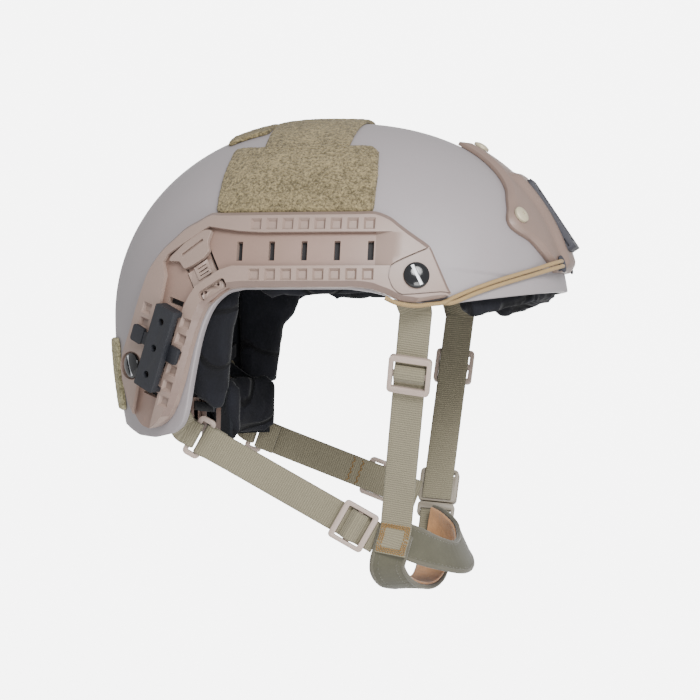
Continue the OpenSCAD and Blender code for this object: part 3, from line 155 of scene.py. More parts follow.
@dataclass(frozen=True)
class Skin:
    """The outer surface of the shell, in millimetres.

    The powers of the dome are for its front, rear and side, those of the plan for its front and rear, and the tapers
    of the skirt for its length and width.
    """

    centre_x: float = -7.0
    widest_z: float = -14.0
    crown: float = 105.0
    front: float = 148.0
    rear: float = 134.0
    half: float = 118.0
    dome: Point = (2.4, 2.1, 2.25)
    plan: Flat = (2.35, 2.2)
    taper: Flat = (0.0015, 0.001)

    def reach(self, size: np.ndarray, power: np.ndarray, taper: np.ndarray, z: np.ndarray) -> np.ndarray:
        """Half length or half width of the surface at heights.

        Args:
            size: Its largest value.
            power: Power of the dome's side view.
            taper: How fast the skirt narrows.
            z: The heights.

        Returns:
            One reach for each height.
        """
        up = np.clip((z - self.widest_z) / (self.crown - self.widest_z), 0, 1)
        dome = size * (1 - up ** 2) ** (1 / power)
        return np.where(z >= self.widest_z, dome, size - taper * (z - self.widest_z) ** 2)

    def ends(self, dx: np.ndarray, z: np.ndarray) -> tuple[np.ndarray, np.ndarray, np.ndarray]:
        """Reach along x, reach along y and power of the plan at places.

        Args:
            dx: Places along x from the plan's centre.
            z: Their heights.

        Returns:
            The three values, each with one number for each place.
        """
        ahead = dx >= 0
        front, rear, side = self.dome
        long = self.reach(np.where(ahead, self.front, self.rear), np.where(ahead, front, rear),
                          np.full_like(z, self.taper[0]), z)
        wide = self.reach(np.full_like(z, self.half), np.full_like(z, side), np.full_like(z, self.taper[1]), z)
        return np.maximum(long, 1e-6), np.maximum(wide, 1e-6), np.where(ahead, *self.plan)

    def level(self, p: np.ndarray) -> np.ndarray:
        """How far out points lie, where 1 is on the surface.

        Args:
            p: Rows of x, y and z.

        Returns:
            One value for each.
        """
        dx = p[:, 0] - self.centre_x
        long, wide, n = self.ends(dx, p[:, 2])
        return np.abs(dx / long) ** n + np.abs(p[:, 1] / wide) ** n

    def outward(self, p: np.ndarray) -> np.ndarray:
        """Directions straight out of the surface at points."""
        steps = 0.4 * np.eye(3)
        return unit(np.stack([self.level(p + s) - self.level(p - s) for s in steps], -1))

    def lift(self, p: np.ndarray, height: np.ndarray) -> np.ndarray:
        """Points moved straight out by a height."""
        return p + self.outward(p) * np.asarray(height, float).reshape(-1, 1)

    def bearing(self, flat: np.ndarray) -> np.ndarray:
        """Points at bearings to the right of straight ahead, heights z and heights above the surface.

        Args:
            flat: Rows of these three.

        Returns:
            Rows of x, y and z.
        """
        b, z = np.radians(flat[:, 0]), flat[:, 1]
        c, s = np.cos(b), np.sin(b)
        long, wide, n = self.ends(c, z)
        r = (np.abs(c / long) ** n + np.abs(s / wide) ** n) ** (-1 / n)
        return self.lift(np.stack([self.centre_x + r * c, -r * s, z], -1), flat[:, 2])

    def flank(self, flat: np.ndarray) -> np.ndarray:
        """Points of the right side at x, z and a height above the surface.

        Args:
            flat: Rows of these three.

        Returns:
            Rows of x, y and z.
        """
        x, z = flat[:, 0], flat[:, 1]
        dx = x - self.centre_x
        long, wide, n = self.ends(dx, z)
        y = -wide * np.clip(1 - np.abs(dx / long) ** n, 0, 1) ** (1 / n)
        return self.lift(np.stack([x, y, z], -1), flat[:, 2])

    def forehead(self, flat: np.ndarray) -> np.ndarray:
        """Points of the front at y, z and a height above the surface.

        Args:
            flat: Rows of these three.

        Returns:
            Rows of x, y and z.
        """
        y, z = flat[:, 0], flat[:, 1]
        long, wide, n = self.ends(np.ones_like(z), z)
        x = self.centre_x + long * np.clip(1 - np.abs(y / wide) ** n, 0, 1) ** (1 / n)
        return self.lift(np.stack([x, y, z], -1), flat[:, 2])

    def crown_cap(self, flat: np.ndarray) -> np.ndarray:
        """Points of the top at x, y and a height above the surface.

        Args:
            flat: Rows of these three.

        Returns:
            Rows of x, y and z.
        """
        low, high = np.full(len(flat), 20.0), np.full(len(flat), self.crown)
        for _ in range(24):
            mid = (low + high) / 2
            inside = self.level(np.column_stack([flat[:, :2], mid])) < 1
            low, high = np.where(inside, mid, low), np.where(inside, high, mid)
        return self.lift(np.column_stack([flat[:, :2], low]), flat[:, 2])

    def stand(self, flat: Flat, turn: float = 0.0) -> Matrix:
        """The frame of a shape that stands on the right side.

        Args:
            flat: The place's x and z.
            turn: Turn of the shape in degrees.

        Returns:
            A matrix in millimetres, its z straight out and its y up.
        """
        p = self.flank(np.array([[*flat, 0.0]]))[0]
        n = self.outward(p[None])[0]
        rot = (Matrix.Rotation(math.atan2(n[0], -n[1]), 4, "Z")
               @ Matrix.Rotation(math.pi / 2 - math.asin(n[2]), 4, "X")
               @ Matrix.Rotation(math.radians(turn), 4, "Z"))
        return Matrix.Translation(Vector(p)) @ rot


SKIN = Skin()


def one(place: Place, *flat: float) -> np.ndarray:
    """A single point of the shell's surface."""
    return place(np.array([flat], float))[0]


def verts_of(made: dict) -> list[bmesh.types.BMVert]:
    """The vertices among what a mesh operator made."""
    return [v for v in made["geom"] if isinstance(v, bmesh.types.BMVert)]


def column(items: bpy.types.bpy_prop_collection, key: str, width: int = 3, kind: type = float) -> np.ndarray:
    """A property of all items, as one row for each.

    Args:
        items: The items.
        key: The property's name.
        width: How many numbers it has.
        kind: Their type.

    Returns:
        The rows.
    """
    out = np.empty(len(items) * width, kind)
    items.foreach_get(key, out)
    return out.reshape(-1, width)


def placed(name: str, data: bpy.types.ID) -> bpy.types.Object:
    """A new object in the scene.

    Args:
        name: Its name.
        data: Its data.

    Returns:
        The object.
    """
    obj = bpy.data.objects.new(name, data)
    bpy.context.scene.collection.objects.link(obj)
    return obj


class Stock:
    """A mesh under work, in millimetres."""

    def __init__(self) -> None:
        """Starts with nothing."""
        self.bm = bmesh.new()

    @classmethod
    def prism(cls, outline: Sequence[Flat], low: float, high: float) -> "Stock":
        """A straight block over an outline.

        Args:
            outline: Its corners.
            low: Height of its lower face.
            high: Height of its upper face.

        Returns:
            The closed block.
        """
        out = cls()
        face = out.bm.faces.new([out.bm.verts.new((*p, low)) for p in outline])
        top = verts_of(bmesh.ops.extrude_face_region(out.bm, geom=[face]))
        bmesh.ops.translate(out.bm, vec=(0, 0, high - low), verts=top)
        return out.outside()

    @classmethod
    def disc(cls, centre: Flat, radius: float, low: float, high: float, sides: int = 48) -> "Stock":
        """A round block.

        Args:
            centre: Its place.
            radius: Its radius.
            low: Height of its lower face.
            high: Height of its upper face.
            sides: Sides of its outline.

        Returns:
            The closed block.
        """
        turn = [2 * math.pi * k / sides for k in range(sides)]
        return cls.prism([(centre[0] + radius * math.cos(a), centre[1] + radius * math.sin(a)) for a in turn],
                         low, high)

    @classmethod
    def pocket(cls, centre: Flat, turn: float, size: Flat, low: float, high: float, draft: float) -> "Stock":
        """A block whose lower face is smaller by a draft on each side.

        Args:
            centre: Its place.
            turn: Its turn in degrees.
            size: Its two sizes.
            low: Height of its lower face.
            high: Height of its upper face.
            draft: The draft.

        Returns:
            The closed block.
        """
        c, s = math.cos(math.radians(turn)), math.sin(math.radians(turn))
        out = cls()
        made = bmesh.ops.create_cube(out.bm, size=1)["verts"]
        for v in made:
            cut = draft if v.co.z < 0 else 0
            x, y = v.co.x * (size[0] - 2 * cut), v.co.y * (size[1] - 2 * cut)
            v.co = (centre[0] + x * c - y * s, centre[1] + x * s + y * c, low if v.co.z < 0 else high)
        return out

    @classmethod
    def grid(cls, cols: int, rows: int, place: Place, wrap: bool = False) -> "Stock":
        """A net of quads whose u and v run from 0 to 1.

        Args:
            cols: Quads along u.
            rows: Quads along v.
            place: Gives a point for each row of u and v.
            wrap: Whether u closes on itself.

        Returns:
            The net, with u and v in its UV map.
        """
        out = cls()
        bmesh.ops.create_grid(out.bm, x_segments=cols, y_segments=rows, size=0.5)
        uv = out.bm.loops.layers.uv.new("UVMap")
        for f in out.bm.faces:
            for loop in f.loops:
                loop[uv].uv = (loop.vert.co.x + 0.5, loop.vert.co.y + 0.5)
        out.move(lambda p: place(p[:, :2] + 0.5))
        if wrap:
            bmesh.ops.remove_doubles(out.bm, verts=out.bm.verts[:], dist=1e-4)
        return out

    @classmethod
    def lathe(cls, profile: Sequence[Flat]) -> "Stock":
        """A profile of radius and height, spun round z.

        Args:
            profile: Its points, from the axis and back to it.

        Returns:
            The closed solid.
        """
        out = cls()
        verts = [out.bm.verts.new((r, 0, z)) for r, z in profile]
        edges = [out.bm.edges.new(pair) for pair in zip(verts, verts[1:])]
        bmesh.ops.spin(out.bm, geom=verts + edges, cent=(0, 0, 0), axis=(0, 0, 1), angle=2 * math.pi,
                       steps=48, use_merge=True, use_duplicate=False)
        bmesh.ops.remove_doubles(out.bm, verts=out.bm.verts[:], dist=1e-4)
        return out.outside()

    @classmethod
    def of_node(cls, node: str) -> "Stock":
        """A merged copy of a CAD node, in millimetres, with plain faces.

        Args:
            node: Its name.

        Returns:
            The copy.
        """
        out = cls()
        out.bm.from_mesh(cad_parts[node].data)
        bmesh.ops.remove_doubles(out.bm, verts=out.bm.verts[:], dist=1e-6)
        bmesh.ops.scale(out.bm, vec=(1 / MM,) * 3, verts=out.bm.verts[:])
        return out.plain()

    def outside(self) -> "Stock":
        """Turns the faces outwards."""
        bmesh.ops.recalc_face_normals(self.bm, faces=self.bm.faces[:])
        return self

    def plain(self) -> "Stock":
        """Joins faces that lie in one plane.

        Returns:
            This mesh.
        """
        bmesh.ops.dissolve_limit(self.bm, angle_limit=math.radians(0.6), verts=self.bm.verts[:],
                                 edges=self.bm.edges[:])
        return self

    def slab(self, low: float) -> "Stock":
        """Closes a sheet with a flat face at a height.

        Args:
            low: The height.

        Returns:
            This mesh.
        """
        for v in verts_of(bmesh.ops.extrude_face_region(self.bm, geom=self.bm.faces[:])):
            v.co.z = low
        return self

    def ended(self, around: float, long: float) -> "Stock":
        """Closes the ends of a wrapped net and gives its UV map sizes in metres.

        Args:
            around: The net's size round its line, in millimetres.
            long: Its size along the line, in millimetres.

        Returns:
            This mesh.
        """
        bmesh.ops.holes_fill(self.bm, edges=[e for e in self.bm.edges if e.is_boundary], sides=0)
        uv = self.bm.loops.layers.uv.active
        for f in self.bm.faces:
            for loop in f.loops:
                loop[uv].uv = (loop[uv].uv.x * around * MM, loop[uv].uv.y * long * MM)
        return self.outside()

    def move(self, place: Place) -> "Stock":
        """Moves every vertex by a function of all of them.

        Args:
            place: Gives the new places from the old ones.

        Returns:
            This mesh.
        """
        verts = self.bm.verts[:]
        for v, co in zip(verts, place(np.array([v.co[:] for v in verts], float))):
            v.co = co
        return self

    def turn(self, matrix: Matrix) -> "Stock":
        """Moves the whole by a matrix."""
        bmesh.ops.transform(self.bm, matrix=matrix, verts=self.bm.verts[:])
        return self

    def bevel(self, width: float, segments: int = 2, angle: float = 30) -> "Stock":
        """Rounds sharp edges.

        Args:
            width: How far the rounding reaches from the edge.
            segments: Steps of the rounding.
            angle: Angle in degrees from which an edge is sharp.

        Returns:
            This mesh.
        """
        limit = math.radians(angle)
        sharp = [e for e in self.bm.edges if len(e.link_faces) == 2 and e.calc_face_angle(0) > limit]
        bmesh.ops.bevel(self.bm, geom=sharp, offset=width, offset_type="OFFSET", segments=segments, profile=0.5,
                        affect="EDGES", clamp_overlap=True, material=-1)
        return self

    def slice(self, axis: int, step: float) -> "Stock":
        """Cuts the faces by even planes across an axis, so that they can bend.

        Args:
            axis: The axis, from 0 to 2.
            step: Distance between the planes.

        Returns:
            This mesh.
        """
        vals = [v.co[axis] for v in self.bm.verts]
        normal = [0.0, 0.0, 0.0]
        normal[axis] = 1.0
        for k in range(math.floor(min(vals) / step) + 1, math.ceil(max(vals) / step)):
            geom = self.bm.verts[:] + self.bm.edges[:] + self.bm.faces[:]
            bmesh.ops.bisect_plane(self.bm, geom=geom, dist=1e-4, plane_co=[k * step * n for n in normal],
                                   plane_no=normal)
        return self

    def add(self, other: "Stock") -> "Stock":
        """Takes in another mesh.

        Args:
            other: The mesh, which stays as it is.

        Returns:
            This mesh.
        """
        made = bpy.data.meshes.new("part")
        other.bm.to_mesh(made)
        self.bm.from_mesh(made)
        bpy.data.meshes.remove(made)
        return self

    def mesh(self, name: str = "part") -> bpy.types.Mesh:
        """The mesh data, still in millimetres.

        Args:
            name: The data's name.

        Returns:
            The data. This mesh is used up.
        """
        out = bpy.data.meshes.new(name)
        self.bm.to_mesh(out)
        self.bm.free()
        return out


def applied(data: bpy.types.Mesh, *steps: tuple[str, dict]) -> bpy.types.Mesh:
    """Runs modifiers on a mesh.

    Args:
        data: The mesh, which is used up.
        steps: Each modifier's type and settings.

    Returns:
        The finished mesh.
    """
    obj = placed("work", data)
    for kind, settings in steps:
        mod = obj.modifiers.new(kind, kind)
        for key, value in settings.items():
            setattr(mod, key, value)
    graph = bpy.context.evaluated_depsgraph_get()
    out = bpy.data.meshes.new_from_object(obj.evaluated_get(graph), preserve_all_data_layers=True, depsgraph=graph)
    bpy.data.objects.remove(obj)
    return out


def cut(data: bpy.types.Mesh, *rounds: Sequence[Stock]) -> bpy.types.Mesh:
    """Cuts blocks out of a mesh.

    Args:
        data: The mesh, which is used up.
        rounds: Sets of cutting blocks, which don't touch within a set.

    Returns:
        The cut mesh.
    """
    for whole, *others in rounds:
        for block in others:
            whole.add(block)
        tool = placed("tool", whole.mesh())
        data = applied(data, ("BOOLEAN", {"operation": "DIFFERENCE", "solver": "EXACT", "object": tool}))
        bpy.data.objects.remove(tool)
    return data


def carved(body: Stock, *rounds: Sequence[Stock]) -> Stock:
    """A body without the blocks of some rounds, with plain faces.

    Args:
        body: What is cut.
        rounds: Sets of cutting blocks, which don't touch within a set.

    Returns:
        The cut body.
    """
    out = Stock()
    out.bm.from_mesh(cut(body.mesh(), *rounds))
    return out.plain()


def wrapped(work: Stock, side: Side) -> bpy.types.Mesh:
    """Lays a flat piece on the shell's side, with its plane faces shaded as one surface.

    Args:
        work: The flat piece in x and z of the side, its own z the height above the surface.
        side: The side it lies on.

    Returns:
        The bent mesh, in millimetres.
    """
    data = work.slice(0, BEND_STEP).slice(1, BEND_STEP).mesh()
    data.polygons.foreach_set("use_smooth", [True] * len(data.polygons))
    data = applied(data, ("WEIGHTED_NORMAL", {"weight": 90, "keep_sharp": True}))
    if side is Side.LEFT:
        data.flip_normals()
    normals = column(data.corner_normals, "vector") * -side.value
    flat = column(data.vertices, "co")
    reach = 0.2
    slopes = [(SKIN.flank(flat + s) - SKIN.flank(flat - s)) / (2 * reach) for s in reach * np.eye(3)]
    turn = np.linalg.inv(np.stack(slopes, -1)).transpose(0, 2, 1)
    index = column(data.loops, "vertex_index", 1, int)[:, 0]
    bent = unit(np.einsum("nij,nj->ni", turn[index], normals))
    data.vertices.foreach_set("co", side.of(SKIN.flank(flat)).ravel())
    data.normals_split_custom_set(side.of(bent).tolist())
    data.update()
    return data


def piece(node: str, data: bpy.types.Mesh, finishes: "Sequence[Finish]", body: str = HELMET,
          smooth: float | None = 35.0) -> bpy.types.Object:
    """Turns a mesh in millimetres into a piece of the helmet.

    Args:
        node: The CAD node that it stands for, or the name of a piece that stands for none.
        data: Its mesh.
        finishes: The finish of each material index.
        body: The body that it rides on.
        smooth: Angle up to which it is shaded smooth, or None where the shading is already set.

    Returns:
        The piece.
    """
    data.transform(Matrix.Scale(MM, 4))
    if smooth is not None:
        data.polygons.foreach_set("use_smooth", [True] * len(data.polygons))
        data.set_sharp_from_angle(angle=math.radians(smooth))
    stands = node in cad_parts
    name = node + "_look" if stands else node
    data.name = name
    index = column(data.polygons, "material_index", 1, np.int32)[:, 0]
    data.materials.clear()
    for finish in finishes:
        data.materials.append(finish.material())
    data.polygons.foreach_set("material_index", np.minimum(index, len(finishes) - 1))
    obj = placed(name, data)
    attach(obj, body)
    if stands:
        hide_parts(node)
    LOG.info("%s: %d faces on %s", name, len(data.polygons), body)
    return obj


Colour = tuple[int, int, int]


def linear(colour: Colour, gain: float = 1.0) -> tuple[float, float, float, float]:
    """A screen colour as the renderer's linear light.

    Args:
        colour: Red, green and blue from 0 to 255.
        gain: Share of its brightness to keep.

    Returns:
        Red, green, blue and alpha.
    """
    part = [c / 255 for c in colour]
    out = [gain * (c / 12.92 if c <= 0.04045 else ((c + 0.055) / 1.055) ** 2.4) for c in part]
    return (*out, 1.0)


class Sock:
    """A value socket that takes part in Python arithmetic."""

    def __init__(self, tree: bpy.types.NodeTree, socket: bpy.types.NodeSocket) -> None:
        """Wraps an output socket of a tree."""
        self.tree = tree
        self.socket = socket

    def math(self, operation: str, *others: "Sock | float", swap: bool = False) -> "Sock":
        """Adds a Math node.

        Args:
            operation: What it does.
            others: The values beside this one.
            swap: Whether this value comes last.

        Returns:
            Its result.
        """
        node = self.tree.nodes.new("ShaderNodeMath")
        node.operation = operation
        row = (*others, self) if swap else (self, *others)
        for target, value in zip(node.inputs, row):
            if isinstance(value, Sock):
                self.tree.links.new(value.socket, target)
            else:
                target.default_value = float(value)
        return Sock(self.tree, node.outputs[0])

    def __add__(self, other: "Sock | float") -> "Sock":
        """This plus other."""
        return self.math("ADD", other)

    def __sub__(self, other: "Sock | float") -> "Sock":
        """This minus other."""
        return self.math("SUBTRACT", other)

    def __rsub__(self, other: float) -> "Sock":
        """Other minus this."""
        return self.math("SUBTRACT", other, swap=True)

    def __mul__(self, other: "Sock | float") -> "Sock":
        """This times other."""
        return self.math("MULTIPLY", other)

    def wave(self, pitch: float) -> "Sock":
        """A wave from 0 to 1 that repeats at a pitch."""
        return self.math("MULTIPLY", 2 * math.pi / pitch).math("SINE") * 0.5 + 0.5


class Graph:
    """A material under work."""

    def __init__(self, name: str) -> None:
        """Starts an empty material.

        Args:
            name: The material's name.
        """
        self.material = bpy.data.materials.new(name)
        self.material.use_nodes = True
        self.tree = self.material.node_tree
        self.tree.nodes.clear()

    def node(self, kind: str, settings: dict | None = None, inputs: dict | None = None,
             out: int | str = 0) -> Sock:
        """Adds a node.

        Args:
            kind: Its type.
            settings: Its own settings, which are made first.
            inputs: Values or links of its sockets.
            out: The output that is wanted.

        Returns:
            That output.
        """
        node = self.tree.nodes.new(kind)
        for key, value in (settings or {}).items():
            setattr(node, key, value)
        for key, value in (inputs or {}).items():
            if isinstance(value, Sock):
                self.tree.links.new(value.socket, node.inputs[key])
            else:
                node.inputs[key].default_value = value
        return Sock(self.tree, node.outputs[out] if len(node.outputs) else None)

    def object_point(self) -> Sock:
        """The place on the helmet, in metres."""
        return self.node("ShaderNodeTexCoord", out="Object")

    def uv_point(self) -> Sock:
        """The place on the piece's own UV map, in metres."""
        return self.node("ShaderNodeTexCoord", out="UV")

    def axes(self, point: Sock) -> tuple[Sock, Sock, Sock]:
        """The three parts of a point."""
        node = self.node("ShaderNodeSeparateXYZ", inputs={0: point})
        return tuple(Sock(self.tree, o) for o in node.socket.node.outputs)

    def noise(self, point: Sock, scale: float, detail: float = 2.0, rough: float = 0.5) -> Sock:
        """Noise from 0 to 1.

        Args:
            point: Where it is read.
            scale: Grains in a metre.
            detail: Octaves.
            rough: How strong the finer ones are.

        Returns:
            The noise.
        """
        return self.node("ShaderNodeTexNoise", {"noise_dimensions": "3D"},
                         {"Vector": point, "Scale": scale, "Detail": detail, "Roughness": rough})

    def cells(self, point: Sock, scale: float) -> Sock:
        """Distance to the nearest of scattered points."""
        return self.node("ShaderNodeTexVoronoi", None, {"Vector": point, "Scale": scale})

    def step(self, value: Sock, low: float, high: float) -> Sock:
        """A soft step from 0 at low to 1 at high."""
        return self.node("ShaderNodeMapRange", {"interpolation_type": "SMOOTHSTEP"},
                         {"Value": value, "From Min": low, "From Max": high})

    def tint(self, share: Sock, low: Sock | tuple, high: Sock | tuple) -> Sock:
        """A colour between two others."""
        return self.node("ShaderNodeMix", {"data_type": "RGBA"}, {0: share, 6: low, 7: high}, 2)

    def bump(self, height: Sock, distance: float, under: Sock | None = None) -> Sock:
        """A normal bent by a height.

        Args:
            height: The height, from 0 to 1.
            distance: Metres that 1 stands for.
            under: A normal to start from.

        Returns:
            The bent normal.
        """
        inputs = {"Strength": 1.0, "Distance": distance, "Height": height}
        if under is not None:
            inputs["Normal"] = under
        return self.node("ShaderNodeBump", None, inputs)

    def close(self, **inputs: Sock | float | tuple) -> bpy.types.Material:
        """Ends the material in its surface shader.

        Args:
            inputs: The shader's sockets, with an underscore for each space.

        Returns:
            The finished material.
        """
        named = {key.replace("_", " "): value for key, value in inputs.items()}
        shader = self.node("ShaderNodeBsdfPrincipled", None, named)
        self.node("ShaderNodeOutputMaterial", None, {"Surface": shader})
        return self.material


@dataclass(frozen=True)
class Finish:
    """A plain moulded or painted finish."""

    name: str
    slot: str
    colour: Colour
    rough: float = 0.5
    grain: float = 2600.0
    depth: float = 0.00006
    fade: float = 0.10
    metal: float = 0.0

    def material(self) -> bpy.types.Material:
        """The finish's material, made once."""
        known = bpy.data.materials.get(self.name)
        return known if known else self.build()

    def shade(self, graph: Graph, share: Sock, low: float, high: float) -> Sock:
        """The finish's colour, from a low to a high share of its brightness."""
        return graph.tint(share, linear(self.colour, low), linear(self.colour, high))

    def build(self) -> bpy.types.Material:
        """Moulded plastic with a fine grain and a slow change of shade.

        Returns:
            The material.
        """
        graph = Graph(self.name)
        at = graph.object_point()
        slow = graph.noise(at, 28, 3)
        grain = graph.noise(at, self.grain, 2)
        colour = self.shade(graph, slow * 0.7 + grain * 0.3, 1 - self.fade, 1 + self.fade)
        return graph.close(Base_Color=colour, Roughness=slow * 0.12 + (self.rough - 0.06), Metallic=self.metal,
                           Normal=graph.bump(grain, self.depth))


@dataclass(frozen=True)
class Paint(Finish):
    """The shell's matt paint, with an orange peel and a crease above the brim."""

    crease: tuple[Flat, Flat] = ((0.0765, 0.0128), (0.1073, 0.0092))

    def build(self) -> bpy.types.Material:
        """Paint over a pressed shell.

        Returns:
            The material.
        """
        graph = Graph(self.name)
        at = graph.object_point()
        x, _, z = graph.axes(at)
        slow = graph.noise(at, 14, 3)
        peel = graph.noise(at, 520, 2, 0.6)
        fine = graph.noise(at, 1900, 2, 0.6)
        specks = 1.0 - graph.step(graph.cells(at, 95), 0.02, 0.05)
        rare = specks * graph.step(graph.noise(at, 60, 1), 0.58, 0.66)
        shade = self.shade(graph, slow * 0.6 + fine * 0.4, 0.93, 1.07)
        shade = graph.tint(rare * 0.35, shade, linear(self.colour, 0.55))
        (x0, z0), (x1, z1) = self.crease
        line = (x - x0) * ((z1 - z0) / (x1 - x0)) + z0
        along = graph.step(x, x0 - 0.006, x0 + 0.022) * (1.0 - graph.step(x, 0.104, 0.122))
        fold = graph.step(z - line, -0.0016, 0.0016) * along
        normal = graph.bump(peel * 0.7 + fine * 0.3, self.depth)
        return graph.close(Base_Color=shade, Roughness=slow * 0.1 + (self.rough - 0.05),
                           Normal=graph.bump(fold, 0.0011, normal))


@dataclass(frozen=True)
class LoopPile(Finish):
    """Fuzzy loop fabric."""

    def build(self) -> bpy.types.Material:
        """Loops that catch the light over a darker ground.

        Returns:
            The material.
        """
        graph = Graph(self.name)
        at = graph.object_point()
        loops = graph.noise(at, 720, 3, 0.72)
        tufts = graph.noise(at, 330, 2, 0.6)
        worn = graph.noise(at, 45, 2)
        share = graph.step(loops * 0.62 + tufts * 0.26 + worn * 0.12, 0.34, 0.66)
        colour = self.shade(graph, share, 0.36, 1.75)
        return graph.close(Base_Color=colour, Roughness=0.95, Sheen_Weight=0.08, Sheen_Roughness=0.5,
                           Specular_IOR_Level=0.2, Normal=graph.bump(share * 0.6 + loops * 0.4, self.depth))


@dataclass(frozen=True)
class Cloth(Finish):
    """Brushed knit over foam, or a smooth tape."""

    sheen: float = 0.25
    folds: float = 0.0

    def build(self) -> bpy.types.Material:
        """Short fibres with faint rubbed places, and fold lines where asked, painted darker as the shade in the
        folds.

        Returns:
            The material.
        """
        graph = Graph(self.name)
        at = graph.object_point()
        fibre = graph.noise(at, self.grain, 3, 0.7)
        rubbed = graph.noise(at, 55, 4, 0.6)
        share = graph.step(rubbed * 0.6 + fibre * 0.4, 0.35, 0.7)
        colour = self.shade(graph, share, 1 - self.fade, 1 + self.fade)
        normal = graph.bump(fibre * 0.7 + rubbed * 0.3, self.depth)
        if self.folds:
            far = (graph.noise(at, 16, 1) - 0.5).math("ABSOLUTE")
            line = graph.step(far, 0.004, 0.022)
            # Fold lines painted darker as the shade in the creases.
            colour = graph.tint(line, linear(self.colour, 0.3), colour)
            normal = graph.bump(line, self.folds, normal)
        return graph.close(Base_Color=colour, Roughness=self.rough, Sheen_Weight=self.sheen, Sheen_Roughness=0.45,
                           Specular_IOR_Level=0.25, Normal=normal)


@dataclass(frozen=True)
class Tape(Finish):
    """Ribbed webbing, read from its own UV map."""

    pitch: float = RIB_PITCH * MM

    def build(self) -> bpy.types.Material:
        """Ribs across the tape, with threads along it, the grooves between them painted darker as shade.

        Returns:
            The material.
        """
        graph = Graph(self.name)
        across, along, _ = graph.axes(graph.uv_point())
        rib = along.wave(self.pitch)
        thread = across.wave(0.00062)
        fibre = graph.noise(graph.object_point(), 1500, 3, 0.65)
        slow = graph.noise(graph.object_point(), 40, 2)
        # Grooves between ribs and threads are painted darker as shade.
        share = rib * 0.42 + thread * 0.14 + fibre * 0.24 + slow * 0.2
        colour = self.shade(graph, share, 0.62, 1.3)
        return graph.close(Base_Color=colour, Roughness=0.82, Sheen_Weight=0.15, Specular_IOR_Level=0.25,
                           Normal=graph.bump(rib * 0.55 + thread * 0.2 + fibre * 0.25, self.depth))


@dataclass(frozen=True)
class Braid(Finish):
    """The elastic cord's braided cover."""

    def build(self) -> bpy.types.Material:
        """Crossing strands round the cord, the gaps between them painted darker as shade.

        Returns:
            The material.
        """
        graph = Graph(self.name)
        around, along, _ = graph.axes(graph.uv_point())
        one_way = (along + around * 0.5).wave(0.0011)
        other_way = (along - around * 0.5).wave(0.0011)
        # Gaps between strands are painted darker as shade.
        share = one_way * other_way * 0.7 + graph.noise(graph.object_point(), 900, 2) * 0.3
        colour = self.shade(graph, share, 0.72, 1.3)
        return graph.close(Base_Color=colour, Roughness=0.72, Sheen_Weight=0.1,
                           Normal=graph.bump(one_way * other_way, self.depth))


SHELL = Paint("shell_paint_tan", "shell_paint", (131, 125, 127), rough=0.5, depth=0.00007)
# Near black for the shell's inner faces, and for the cradle's inner faces and arc ends, where it is partly pad foam
# and partly painted shade.
INSIDE_BLACK_AND_SHADE = Cloth("inside_black_and_painted_shade", "pad_fabric", (15, 17, 22), rough=0.9, grain=900, depth=0.0001, sheen=0.05)
RAIL = Finish("rail_nylon", "rail_plastic", (129, 111, 102), rough=0.42, depth=0.00008)
RAIL_EDGE = Finish("rail_nylon_edge", "rail_plastic", (108, 90, 82), rough=0.36, depth=0.00005)
FLOOR = Finish("rail_floor", "rail_plastic", (122, 100, 90), rough=0.45, depth=0.00007)
# Near black for the floors of the rail's slots, painted as the shade inside them.
SLOT_SHADE = Finish("rail_slot_painted_shade", "rail_plastic", (26, 25, 27), rough=0.8, depth=0.00005)
SHROUD = Finish("shroud_nylon", "rail_plastic", (113, 95, 86), rough=0.46, depth=0.00008)
PILE = LoopPile("loop_pile", "loop_patch", (112, 101, 74), depth=0.0009)
# The same loop pile, painted lighter as the back light falling on the nape patch.
NAPE_PILE_LIT = LoopPile("nape_pile_painted_light", "loop_patch", (150, 143, 112), depth=0.0009)
BLACK = Finish("satin_black", "black_plastic", (15, 17, 24), rough=0.55, depth=0.00007, fade=0.2)
INSERT = Finish("insert_black", "insert_black", (20, 21, 27), rough=0.3, depth=0.00005, fade=0.2)
GLOSS = Finish("bolt_gloss", "bolt_black", (14, 15, 18), rough=0.12, depth=0.00001, fade=0.2)
# White for the bolts' slot floors, a painted highlight.
SLOT_HIGHLIGHT = Finish("bolt_slot_painted_highlight", "bolt_black", (226, 228, 232), rough=0.35, depth=0.00001, fade=0.06)
NUT = Finish("nut_steel_black", "nut_steel", (70, 70, 74), rough=0.35, depth=0.00003, metal=0.9)
SCREW = Finish("screw_khaki", "screw_khaki", (122, 112, 84), rough=0.45, depth=0.00004)
CORD = Braid("elastic_braid", "elastic_cord", (142, 117, 76), depth=0.0002)
# The pads' fold lines are painted darker as shade.
PAD = Cloth("pad_knit", "pad_fabric", (15, 16, 22), rough=0.92, grain=1500, depth=0.00022, fade=0.35, sheen=0.04,
            folds=0.0016)
NAPE = Finish("nape_nylon", "nape_plastic", (128, 106, 96), rough=0.42, depth=0.00005)
WEB = Tape("webbing_khaki", "webbing", (113, 107, 89), depth=0.00035)
SLIDER = Finish("slider_sand", "slider_plastic", (152, 136, 126), rough=0.5, depth=0.00007)
TAPE = Cloth("chin_tape_olive", "chin_fabric", (74, 72, 60), rough=0.85, grain=1700, depth=0.00018, fade=0.12,
             sheen=0.15)
BINDING = Cloth("chin_binding", "chin_fabric", (82, 79, 68), rough=0.85, grain=1700, depth=0.00018, fade=0.12)
SUEDE = Cloth("suede_raw", "suede", (168, 124, 84), rough=0.95, grain=1100, depth=0.0004, fade=0.25, sheen=0.4)
THREAD = Cloth("thread_tan", "suede", (116, 88, 46), rough=0.8, grain=2000, depth=0.0001, fade=0.2)
BUCKLE = Finish("buckle_tan", "buckle_plastic", (118, 110, 97), rough=0.5, depth=0.00007)


